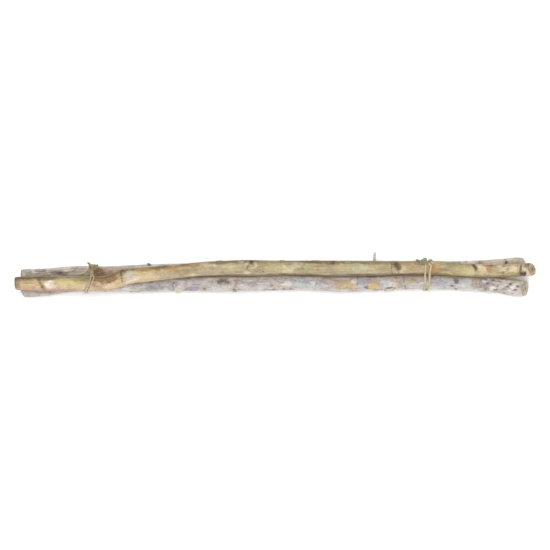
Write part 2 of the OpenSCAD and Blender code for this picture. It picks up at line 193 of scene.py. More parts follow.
def ridges(p, size, octaves, seed, stretch=1.0):
    """From 0 to 1, with thin lines at 1."""
    return 1 - np.abs(fbm(p, size, octaves, seed, stretch)) * 2.2


def smooth(lo, hi, v):
    """From 0 at lo to 1 at hi with a soft start and end. lo may be the larger."""
    t = np.clip((v - lo) / (hi - lo), 0, 1)
    return t * t * (3 - 2 * t)


def lin(r, g, b):
    """A linear colour from 0 to 255 display values."""
    c = np.array([r, g, b], float) / 255
    return np.where(c <= 0.04045, c / 12.92, ((c + 0.055) / 1.055) ** 2.4)


def mix(a, b, t):
    """Colour a where t is 0 and colour b where t is 1."""
    t = np.asarray(t)[..., None]
    return a * (1 - t) + b * t


def around(degrees, start):
    """Signed turn from the angle start, from -180 to 180."""
    return (degrees - start + 180) % 360 - 180


# ---------------------------------------------------------------- meshes

def new_mesh(name, verts, quads, tris=None, tint=None, material=None):
    """A smooth-shaded object from arrays in mm, with its colours in the attribute tint."""
    mesh = bpy.data.meshes.new(name)
    quads = np.asarray(quads, np.int32).reshape(-1, 4)
    tris = np.zeros((0, 3), np.int32) if tris is None else np.asarray(tris, np.int32).reshape(-1, 3)
    corners = np.concatenate([quads.ravel(), tris.ravel()])
    starts = np.concatenate([
        np.arange(len(quads)) * 4,
        len(quads) * 4 + np.arange(len(tris)) * 3,
    ])
    mesh.vertices.add(len(verts))
    mesh.vertices.foreach_set("co", (np.asarray(verts, float) * MM).ravel())
    mesh.loops.add(len(corners))
    mesh.loops.foreach_set("vertex_index", corners.astype(np.int32))
    mesh.polygons.add(len(starts))
    mesh.polygons.foreach_set("loop_start", starts.astype(np.int32))
    mesh.update(calc_edges=True)
    mesh.validate()
    mesh.shade_smooth()
    if tint is not None:
        layer = mesh.color_attributes.new("tint", "FLOAT_COLOR", "POINT")
        rgba = np.ones((len(verts), 4), np.float32)
        rgba[:, :3] = np.asarray(tint) * TRIM
        layer.data.foreach_set("color", rgba.ravel())
    obj = bpy.data.objects.new(name, mesh)
    bpy.context.scene.collection.objects.link(obj)
    if material:
        mesh.materials.append(material)
    return obj


def grid_quads(rows, columns, wrap_rows=False):
    """Quads of a grid of points stored row by row, whose last column joins the first."""
    r, c = np.meshgrid(np.arange(rows if wrap_rows else rows - 1), np.arange(columns), indexing="ij")
    r2, c2 = (r + 1) % rows, (c + 1) % columns
    corners = [r * columns + c, r * columns + c2, r2 * columns + c2, r2 * columns + c]
    return np.stack(corners, axis=-1).reshape(-1, 4)


class Parts:
    """Collects several closed pieces into one mesh."""

    def __init__(self):
        self.verts, self.quads, self.tris, self.tints, self.count = [], [], [], [], 0

    def add(self, verts, quads, tris, tint):
        verts = np.asarray(verts, float).reshape(-1, 3)
        self.verts.append(verts)
        self.quads.append(np.asarray(quads, np.int64).reshape(-1, 4) + self.count)
        self.tris.append(np.asarray(tris, np.int64).reshape(-1, 3) + self.count)
        self.tints.append(np.broadcast_to(np.asarray(tint, float).reshape(-1, 3), verts.shape))
        self.count += len(verts)

    def tube(self, rows, tint, flip=False):
        """rows is (n, m, 3): rings along a closed tube with pointed-off flat ends."""
        n, m = rows.shape[:2]
        ends = np.stack([rows[0].mean(0), rows[-1].mean(0)])
        quads = grid_quads(n, m)
        j = np.arange(m)
        k = (j + 1) % m
        start, end = n * m, n * m + 1
        near = np.stack([np.full(m, start), k, j], axis=-1)
        far = np.stack([np.full(m, end), (n - 1) * m + j, (n - 1) * m + k], axis=-1)
        tris = np.concatenate([near, far])
        if flip:
            quads, tris = quads[:, ::-1], tris[:, ::-1]
        tint = np.asarray(tint, float)
        if tint.ndim == 3:
            caps = np.stack([tint[0].mean(0), tint[-1].mean(0)])
            tint = np.concatenate([tint.reshape(-1, 3), caps])
        self.add(np.concatenate([rows.reshape(-1, 3), ends]), quads, tris, tint)

    def build(self, name, material):
        return new_mesh(
            name,
            np.concatenate(self.verts),
            np.concatenate(self.quads),
            np.concatenate(self.tris),
            np.concatenate(self.tints),
            material,
        )


def sweep(path, radii, sides, hint=(0.0, 0.0, 1.0)):
    """Rings round a path: (n, sides, 3). hint is a direction that the path never follows."""
    path = np.asarray(path, float)
    along = np.gradient(path, axis=0)
    along /= np.linalg.norm(along, axis=1)[:, None]
    hint = np.asarray(hint, float)
    u = np.cross(along, hint)
    u /= np.linalg.norm(u, axis=1)[:, None]
    v = np.cross(along, u)
    a = np.linspace(0, 2 * math.pi, sides, endpoint=False)[None, :]
    r = np.asarray(radii, float).reshape(-1, 1)
    return path[:, None] + (r * np.cos(a))[..., None] * u[:, None] + (r * np.sin(a))[..., None] * v[:, None]


# ---------------------------------------------------------------- materials

def node(tree, kind, **values):
    """A new node with its sockets, or else its settings, set by name. An underscore stands for a space."""
    n = tree.nodes.new(kind)
    for key, value in values.items():
        socket = key.replace("_", " ")
        if socket in n.inputs:
            n.inputs[socket].default_value = value
        else:
            setattr(n, key, value)
    return n


def gain(tree, source, middle, half_range, low, high):
    """Turns noise within half_range of its middle into a factor from low to high."""
    n = node(tree, "ShaderNodeMapRange", To_Min=low, To_Max=high)
    n.inputs["From Min"].default_value = middle - half_range
    n.inputs["From Max"].default_value = middle + half_range
    tree.links.new(source.outputs["Fac"], n.inputs["Value"])
    return n


def surface_material(name, roughness, fine, grain, contrast, bump, speckle=0.0, sheen=0.0):
    """Tinted rough material. fine and grain are noise scales across the piece and along X, per metre."""
    m = bpy.data.materials.new(name)
    m.use_nodes = True
    t = m.node_tree
    t.nodes.clear()
    out = t.nodes.new("ShaderNodeOutputMaterial")
    shader = node(t, "ShaderNodeBsdfPrincipled", Roughness=roughness, Sheen_Weight=sheen)
    shader.inputs["Specular IOR Level"].default_value = 0.25
    t.links.new(shader.outputs[0], out.inputs[0])
    tint = node(t, "ShaderNodeAttribute", attribute_name="tint")
    place = t.nodes.new("ShaderNodeTexCoord")
    stretch = node(t, "ShaderNodeMapping", Scale=(grain, fine, fine))
    t.links.new(place.outputs["Object"], stretch.inputs["Vector"])
    fibres = node(t, "ShaderNodeTexNoise", Scale=1.0, Detail=6.0, Roughness=0.62)
    t.links.new(stretch.outputs[0], fibres.inputs["Vector"])
    dots = node(t, "ShaderNodeTexNoise", Scale=fine * 1.7, Detail=3.0, Roughness=0.7)
    t.links.new(place.outputs["Object"], dots.inputs["Vector"])
    # colour: the tint, made lighter and darker by the grain and the dots
    shade = gain(t, fibres, 0.5, 0.2, 1 - contrast, 1 + contrast)
    spots = gain(t, dots, 0.5, 0.15, 1 - speckle, 1 + speckle * 0.6)
    both = node(t, "ShaderNodeMath", operation="MULTIPLY")
    t.links.new(shade.outputs[0], both.inputs[0])
    t.links.new(spots.outputs[0], both.inputs[1])
    colour = node(t, "ShaderNodeVectorMath", operation="SCALE")
    t.links.new(tint.outputs["Color"], colour.inputs[0])
    t.links.new(both.outputs[0], colour.inputs["Scale"])
    t.links.new(colour.outputs[0], shader.inputs["Base Color"])
    # relief from the same grain and dots
    height = node(t, "ShaderNodeMath", operation="ADD")
    t.links.new(fibres.outputs["Fac"], height.inputs[0])
    t.links.new(dots.outputs["Fac"], height.inputs[1])
    bumps = node(t, "ShaderNodeBump", Strength=0.8, Distance=bump * MM)
    t.links.new(height.outputs[0], bumps.inputs["Height"])
    t.links.new(bumps.outputs[0], shader.inputs["Normal"])
    return m


# name, roughness, noise scale across and along, contrast, height of the bumps in mm, speckle and sheen
FRONT_BARK = surface_material("olive_bark", 0.72, 900, 130, 0.13, 0.12, 0.10)
BACK_BARK = surface_material("grey_bark", 0.80, 1000, 90, 0.20, 0.16, 0.12)
LOWER_BARK = surface_material("pale_bark", 0.74, 700, 260, 0.12, 0.14, 0.16)
END_GRAIN = surface_material("end_grain", 0.78, 1600, 1600, 0.10, 0.06, 0.12)
PITH = surface_material("pith", 0.9, 2200, 2200, 0.2, 0.12, 0.2)
DRY_TWIG = surface_material("dry_twig", 0.8, 1500, 700, 0.2, 0.12, 0.2)
TWINE = surface_material("twine_fibre", 0.88, 2600, 2600, 0.22, 0.10, 0.16, 0.25)

# ---------------------------------------------------------------- sticks

COLUMNS = 96
# rows along a surface that only its ends show
INNER_ROWS = 40
# rows across a cut end, from the bark to the pith
END_ROWS = 30
# end faces: colour of the middle, of the ring round it and of the weathered stain
END_COLOURS = {
    "front": ((204, 160, 120), (226, 206, 170), (176, 152, 112)),
    "back": ((186, 160, 122), (196, 182, 154), (150, 138, 114)),
    "lower": ((222, 204, 180), (234, 220, 204), (194, 184, 168)),
}
RIM_COLOURS = {"front": (196, 176, 134), "back": (158, 148, 128), "lower": (196, 188, 174)}
# every colour is darkened by this, to suit the strength of the lamps
TRIM = 0.68
# spacing of the rows along a stick, and the length of stick that is squeezed at a slanted cut
ROW_STEP = 0.9
BLEND_END = 30.0
# the bark's inner face, the wood's sides, the drying cracks in its ends, and the pith
INSIDE_COLOUR = (140, 100, 66)
WOOD_COLOUR = (196, 156, 108)
CHECK_COLOUR = (96, 66, 44)
PITH_COLOUR = (132, 92, 60)


class Stick:
    """A stick's outer surface on a grid of rows along X and columns round it, with its relief and tint."""

    def __init__(self, name, seed):
        self.name = name
        self.seed = seed
        stations = ROUTES[name]
        self.x0, self.x1 = stations[0][0], stations[-1][0]
        self.rows = int((self.x1 - self.x0) / ROW_STEP) + 1
        self.x = np.linspace(self.x0, self.x1, self.rows)
        self.a = np.linspace(0, 360, COLUMNS, endpoint=False)
        self.c = np.cos(np.radians(self.a))
        self.s = np.sin(np.radians(self.a))
        mid = curve_at(name, self.x)
        self.y, self.z, self.r = mid[:, 0], mid[:, 1], mid[:, 2]
        # places for noise, which follow the stick's own middle and lie apart from the other sticks' places
        across, up = self.r[:, None] * self.c, self.r[:, None] * self.s
        self.p = np.stack(np.broadcast_arrays(self.x[:, None], across, up), axis=-1)
        self.p = self.p + np.array([0, 40.0 * seed, 25.0 * seed])
        self.relief = np.zeros((self.rows, COLUMNS))
        self.tint = np.zeros((self.rows, COLUMNS, 3))
        self.wobble = fbm(self.p, 9, 5, seed + 5) + 0.35 * fbm(self.p, 1.6, 2, seed + 6)
        self.broken = smooth(-0.35, 0.15, fbm(self.p, 2.4, 3, seed + 7, 2.5))

    def window(self, x, reach):
        """The rows within reach of x, at least one."""
        lo, hi = np.searchsorted(self.x, [x - reach, x + reach])
        return slice(int(lo), max(int(hi), int(lo) + 1))

    def near(self, x, angle, half_length, half_width, ragged, lean=0.0):
        """Rows, and a distance that is 1 at an oval's edge. lean shifts the oval along X round the stick."""
        reach = half_length * 2.2 + abs(lean) * 12
        w = self.window(x, reach)
        across = np.radians(around(self.a, angle))[None, :] * self.r[w][:, None]
        along = self.x[w][:, None] - x - lean * across
        q = np.sqrt((along / half_length) ** 2 + (across / half_width) ** 2) + ragged * self.wobble[w]
        return w, q

    def paint(self, w, colour, cover):
        self.tint[w] = mix(self.tint[w], lin(*colour), cover)

    def patch(self, x, angle, half_length, half_width, colour, strength, ragged=1.0, soft=0.7):
        """A patch of colour."""
        w, q = self.near(x, angle, half_length, half_width, ragged)
        cover = smooth(1 + soft / 2, 1 - soft / 2, q) * strength * (0.55 + 0.45 * self.broken[w])
        self.paint(w, colour, cover)

    def bump(self, x, angle, half_length, half_width, height, ragged=0.2):
        """A soft swelling."""
        w, q = self.near(x, angle, half_length, half_width, ragged)
        self.relief[w] += height * np.exp(-1.2 * q * q)

    def plateau(self, x, angle, half_length, half_width, height, ragged, sharp):
        """A flat step up, or down where height is negative."""
        w, q = self.near(x, angle, half_length, half_width, ragged)
        self.relief[w] += height * smooth(1 + sharp, 1 - sharp, q)

    def knot(self, x, angle, size, height, dark, rim, lean=0.0):
        """A branch scar: a raised collar round a dished, ringed and darker middle."""
        w, q = self.near(x, angle, size * 1.15, size * 0.72, 0.35, lean)
        collar = np.exp(-((q - 1.0) ** 2) / 0.08) * height
        dish = -smooth(1.0, 0.2, q) * height * 0.9
        inner = np.cos(q * 14) * 0.08 * smooth(1.0, 0.6, q)
        self.relief[w] += collar + dish + inner + 0.5 * height * np.exp(-q * q / 2.2)
        self.paint(w, rim, smooth(1.7, 1.1, q) * 0.6)
        self.paint(w, dark, smooth(1.0, 0.45, q) * (0.55 + 0.35 * self.broken[w]))
        wrinkles = smooth(0.2, 0.9, np.cos(q * 9)) * smooth(2.1, 1.2, q) * smooth(0.9, 1.2, q)
        self.relief[w] -= wrinkles * height * 0.25
        self.paint(w, dark, wrinkles * 0.45)
        eye = smooth(0.45, 0.15, q)
        self.relief[w] -= eye * height * 0.5
        self.tint[w] = mix(self.tint[w], lin(*dark) * 0.55, eye * 0.8)

    def ring(self, x, toward_y, toward_z, width, depth, colour, strength, start=0.0, span=360.0):
        """A scar round the stick, or over a span of it centred on start: a groove between raised lips."""
        w = self.window(x, 14)
        off = self.x[w][:, None] - x - toward_y * self.c - toward_z * self.s + 1.5 * self.wobble[w]
        part = 1.0
        if span < 360:
            part = smooth(span / 2 + 12, span / 2 - 8, np.abs(around(self.a, start)))[None, :]
        part = part * (0.35 + 0.65 * self.broken[w])
        groove = np.exp(-((off / width) ** 2)) * part
        lips = np.exp(-(((np.abs(off) - 1.7 * width) / width) ** 2)) * part
        self.relief[w] += depth * (0.7 * lips - groove)
        self.paint(w, colour, groove * strength)

    def crack(self, x0, x1, angle, wander, width, depth, colour, seed):
        """A lengthwise crack that wanders round the stick."""
        w = slice(*np.searchsorted(self.x, [x0, x1]))
        xs = self.x[w]
        t = (xs - x0) / (x1 - x0)
        line = np.stack([xs / 9.0, np.full_like(xs, seed * 3.7), np.zeros_like(xs)], axis=-1)
        middle = angle + wander * noise(line, seed)
        across = np.radians(around(self.a[None, :], middle[:, None])) * self.r[w][:, None]
        taper = np.sin(np.pi * np.clip(t, 0, 1)) ** 0.6
        cut = np.exp(-((across / (width * (0.35 + 0.65 * taper[:, None]))) ** 2)) * taper[:, None]
        self.relief[w] -= depth * cut
        self.paint(w, colour, 0.85 * cut)

    def specks(self, count, seed, half_length, half_width, height, colour, strength):
        """Small scattered marks, such as lenticels."""
        rng = np.random.default_rng(seed)
        for _ in range(count):
            x = rng.uniform(self.x0 + 8, self.x1 - 8)
            angle = rng.uniform(0, 360)
            size = rng.uniform(0.6, 1.5)
            w, q = self.near(x, angle, half_length * size, half_width * size, 0.15)
            cover = smooth(1.3, 0.5, q)
            self.relief[w] += height * cover
            self.paint(w, colour, cover * strength)

    def weather(self, amount, seed):
        """Breaks every colour up with fine streaks and dots."""
        streaks = fbm(self.p, 1.9, 3, seed, 7.0)
        dots = fbm(self.p, 2.2, 3, seed + 1)
        cloud = fbm(self.p, 6.0, 2, seed + 2, 1.6)
        shade = 1 + amount * (streaks + dots + 0.7 * cloud)
        self.tint = np.clip(self.tint * shade[..., None], 0.01, 1)

    def quiet(self, spans, most):
        """Keeps the relief low where a tie of twine lies or slides."""
        for lo, hi in spans:
            inside = smooth(lo - 6, lo, self.x) * smooth(hi + 6, hi, self.x)
            capped = np.minimum(self.relief, most) * 0.5 + np.minimum(self.relief, 0) * 0.5
            self.relief = self.relief * (1 - inside[:, None]) + capped * inside[:, None]

    def place(self, x, c, s, radius):
        """Moves nominal x so that the last stretch ends in the slanted cut, with its edge worn round."""
        left, right = CUTS[self.name]
        worn_left, worn_right = WORN[self.name]
        move_left = worn_left * (radius / self.r[0]) ** 5 - radius * (left[0] * c + left[1] * s)
        move_right = -worn_right * (radius / self.r[-1]) ** 5 - radius * (right[0] * c + right[1] * s)
        from_left = np.clip((self.x0 + BLEND_END - x) / BLEND_END, 0, 1)
        from_right = np.clip((x - self.x1 + BLEND_END) / BLEND_END, 0, 1)
        return x + from_left * move_left + from_right * move_right

    def shell(self, x, y, z, radius):
        """Points of a surface of rows at x, with centres y and z and a radius for each row and column."""
        xx = self.place(x[:, None], self.c[None, :], self.s[None, :], radius)
        return np.stack([xx, y[:, None] + radius * self.c, z[:, None] + radius * self.s], axis=-1)

    def closed_skin(self, name, profile, tint, material):
        """A ring-shaped skin from rows that run out, across one end, back inside and across the other."""
        quads = grid_quads(len(profile), COLUMNS, wrap_rows=True)
        return new_mesh(name, profile.reshape(-1, 3), quads, None, tint.reshape(-1, 3), material)

    def bark(self, material):
        """Bark as one closed tube: outside, right rim, inside, left rim."""
        outer_radius = self.r[:, None] + self.relief
        # the rim is worn round and chipped
        for end, order in ((0, 1), (-1, -1)):
            for k, drop in enumerate((0.95, 0.55, 0.28, 0.12)):
                outer_radius[end + order * k] -= drop
        outer = self.shell(self.x, self.y, self.z, outer_radius)
        inner_x = np.linspace(self.x0, self.x1, INNER_ROWS)
        mid = curve_at(self.name, inner_x)
        inner_radius = np.broadcast_to(mid[:, 2:3] - BARK, (INNER_ROWS, COLUMNS))
        inner = self.shell(inner_x, mid[:, 0], mid[:, 1], inner_radius)
        chips = fbm(self.p[[0, -1]], 2.5, 3, self.seed + 77)
        rims, rim_tints = [], []
        for end, sign in ((-1, 1), (0, -1)):
            rows, tints = [], []
            for t in (0.3, 0.7):
                radius = outer_radius[end][None] * (1 - t) + inner_radius[end][None] * t
                point = self.shell(self.x[[end]], self.y[[end]], self.z[[end]], radius)[0]
                point[:, 0] -= sign * (0.25 + 0.5 * np.abs(chips[end]))
                rows.append(point)
                tints.append(np.broadcast_to(lin(*RIM_COLOURS[self.name]) * (0.8 + 0.35 * t), (COLUMNS, 3)))
            rims.append(rows)
            rim_tints.append(tints)
        right, left = rims
        profile = np.concatenate([outer, np.array(right), inner[::-1], np.array(left)[::-1]])
        inside = np.broadcast_to(lin(*INSIDE_COLOUR), (INNER_ROWS, COLUMNS, 3))
        tint = np.concatenate([self.tint, np.array(rim_tints[0]), inside, np.array(rim_tints[1])[::-1]])
        return self.closed_skin(self.name + "_bark_skin", profile, tint, material)

    def wood(self, material):
        """Wood as one closed tube round the pith, with end faces made by wood_end."""
        n = INNER_ROWS
        x = np.linspace(self.x0, self.x1, n)
        mid = curve_at(self.name, x)
        outer_radius = np.broadcast_to(mid[:, 2:3] - BARK - LAYER_GAP, (n, COLUMNS))
        bore_radius = np.full((n, COLUMNS), PITH_RADIUS + LAYER_GAP)
        outer = self.shell(x, mid[:, 0], mid[:, 1], outer_radius)
        bore = self.shell(x, mid[:, 0], mid[:, 1], bore_radius)
        rng = np.random.default_rng(self.seed + 3)
        faces, tints = [], []
        for end, sign in ((-1, 1), (0, -1)):
            rows, colours = self.wood_end(rng, x[end], mid[end], sign, outer_radius[end], bore_radius[end])
            faces.append(rows)
            tints.append(colours)
        profile = np.concatenate([outer, faces[0], bore[::-1], faces[1][::-1]])
        plain = np.broadcast_to(lin(*WOOD_COLOUR), (n, COLUMNS, 3))
        tint = np.concatenate([plain, tints[0], plain, tints[1][::-1]])
        return self.closed_skin(self.name + "_wood_core", profile, tint, material)

    def wood_end(self, rng, x, middle, sign, outer_radius, bore_radius):
        """Rows across a cut end from the outside in, with growth rings, saw marks and drying cracks."""
        heart, sap, stain = END_COLOURS[self.name]
        checks = [(rng.uniform(0, 360), rng.uniform(0.4, 1.0), rng.uniform(5, 11)) for _ in range(4)]
        rows, colours = [], []
        for t in np.arange(1, END_ROWS) / END_ROWS:
            radius = (outer_radius * (1 - t) + bore_radius * t)[None]
            point = self.shell(np.array([x]), middle[None, 0], middle[None, 1], radius)[0]
            spot = np.stack([np.zeros(COLUMNS), radius[0] * self.c, radius[0] * self.s], axis=-1)
            warp = radius[0] + 0.5 * fbm(spot + 60 * self.seed, 6, 2, self.seed + 9)
            rings = np.cos(warp * 2 * math.pi / 1.25)
            saw = np.sin((spot[:, 1] * 0.8 + spot[:, 2] * 0.6) * 5.5)
            sink = -0.16 * (1 - t) * t + 0.05 * rings + 0.035 * saw
            colour = mix(lin(*sap), lin(*sap) * 0.8, smooth(0.1, 0.9, rings) * 0.7)
            centre = smooth(0.42, 0.62, t + 0.12 * fbm(spot + 31 * self.seed, 5.0, 2, self.seed + 14))
            colour = mix(colour, lin(*heart) * (0.9 + 0.12 * rings[:, None]), centre * 0.85)
            dirty = smooth(0.0, 0.5, fbm(spot + 47 * self.seed, 7.0, 3, self.seed + 15) + 0.5 * self.s)
            colour = mix(colour, lin(*stain), dirty * 0.75)
            colour = colour * (1 + 0.12 * fbm(spot + 9, 2.0, 3, self.seed + 4)[:, None])
            for angle, deep, width in checks:
                reach = np.abs(around(self.a, angle)) / (width * (1.1 - t))
                gap = np.exp(-(reach**2)) * smooth(0.0, 0.35, t) * smooth(1.0, 0.8, t)
                sink = sink - 0.8 * deep * gap
                colour = mix(colour, lin(*CHECK_COLOUR), np.clip(gap * 0.8, 0, 1))
            point[:, 0] += sign * (sink - 0.05)
            rows.append(point)
            colours.append(colour)
        return np.array(rows), np.array(colours)

    def pith(self, material):
        """Pith as a soft rod with slightly sunken ends."""
        n, sides = 60, 24
        x = np.linspace(self.x0 + 0.4, self.x1 - 0.4, n)
        mid = curve_at(self.name, x)
        path = np.stack([x, mid[:, 0], mid[:, 1]], axis=-1)
        rows = sweep(path, np.full(n, PITH_RADIUS), sides)
        c = (rows[:, :, 1] - mid[:, 0:1]) / PITH_RADIUS
        s = (rows[:, :, 2] - mid[:, 1:2]) / PITH_RADIUS
        rows[:, :, 0] = self.place(x[:, None], c, s, PITH_RADIUS)
        parts = Parts()
        grain = fbm(rows, 1.0, 2, self.seed + 12)
        tint = lin(*PITH_COLOUR) * (1 + 0.3 * grain[..., None])
        parts.tube(rows, tint)
        return parts.build(self.name + "_pith_rod", material)


def finish_piece(obj, body, cad_node):
    """Rides a piece on its body, and hides the CAD node it stands for."""
    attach(obj, body)
    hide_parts(cad_node)


def each(draw, marks):
    """Draws every mark of a list, whose numbers are the arguments of draw."""
    for mark in marks:
        draw(*mark)


def layered(colour, layers):
    """A base colour with washes of other colours over it, each with its cover from 0 to 1."""
    for over, cover in layers:
        colour = mix(colour, lin(*over), cover)
    return colour


def scatter(stick, count, seed, lengths, widths, colours, strength, height):
    """Lays many small ragged scales of bark at random, each with its own colour and step."""
    rng = np.random.default_rng(seed)
    for _ in range(count):
        x = rng.uniform(stick.x0 + 4, stick.x1 - 4)
        angle = rng.uniform(0, 360)
        half_length = rng.uniform(*lengths)
        half_width = rng.uniform(*widths)
        colour = colours[int(rng.integers(len(colours)))]
        cover = strength * rng.uniform(0.6, 1.0)
        stick.patch(x, angle, half_length, half_width, colour, cover, ragged=0.9, soft=0.35)
        stick.plateau(x, angle, half_length, half_width, height * rng.uniform(-1, 1), ragged=0.9, sharp=0.2)


# ---------------------------------------------------------------- front stick: olive and tan bark

# The lists below hold, for each mark:
# patch: x, angle, half length, half width, colour, strength, and at times how ragged it is
# plateau: x, angle, half length, half width, height, raggedness, and how soft its step is
# knot: x, angle, size, height, colour of the middle and of the rim, and at times its lean
# ring: x, slant towards +Y and +Z, width, depth, colour, strength, and at times its middle and span
# crack: x from and to, angle, wander, width, depth, colour, seed

front = Stick("front", 1)
p = front.p
side = front.c[None, :] * np.ones((front.rows, 1))
broad = fbm(p, 30, 3, 11, 3.0)
blotch = fbm(p, 9, 3, 12, 2.0)
streak = fbm(p, 2.2, 3, 13, 9.0)
front.relief = (
    0.30 * fbm(p, 40, 2, 14, 2.0)
    + 0.14 * fbm(p, 9, 2, 15, 2.5)
    + 0.10 * fbm(p, 1.8, 3, 16, 8.0)
    + 0.05 * fbm(p, 1.6, 2, 17)
)
# darker along the upper side, which is turned from the lamps: browner bark and painted shade
upper_bark_and_shade = smooth(0.1, 0.42, side + 0.15 * blotch) * smooth(0.92, 0.64, side) * smooth(240, 140, front.x)[:, None]
left_part = smooth(-120, -260, front.x)[:, None]
right_part = smooth(120, 220, front.x)[:, None]
front.tint = layered(mix(lin(180, 166, 134), lin(194, 176, 147), smooth(-0.35, 0.35, broad)), [
    ((166, 155, 114), smooth(0.0, 0.45, blotch) * 0.6),
    ((214, 201, 170), smooth(0.1, 0.5, -blotch) * 0.5),
    ((140, 120, 88), smooth(0.1, 0.5, streak) * 0.5),
    # painted shade with browner bark: a band along the upper side, then the top edge
    ((132, 110, 86), upper_bark_and_shade * 0.75),
    ((150, 130, 106), smooth(0.85, 1.0, side) * 0.5),
    ((224, 198, 160), left_part * 0.45 * smooth(0.3, -0.2, side)),
    ((234, 212, 182), left_part * 0.45 * smooth(0.35, 0.65, -side)),
    # painted shade along the lower edge of the right part, where it meets the lower stick
    ((150, 134, 98), right_part * smooth(0.82, 0.97, -side) * 0.7),
    ((214, 176, 152), left_part * smooth(0.5, 0.95, -side) * 0.5),
])
scatter(front, 230, 81, (3, 11), (1.0, 3.4), [
    (208, 198, 156), (168, 156, 110), (220, 206, 172), (150, 132, 96), (190, 182, 142), (206, 180, 146),
], 0.7, 0.10)
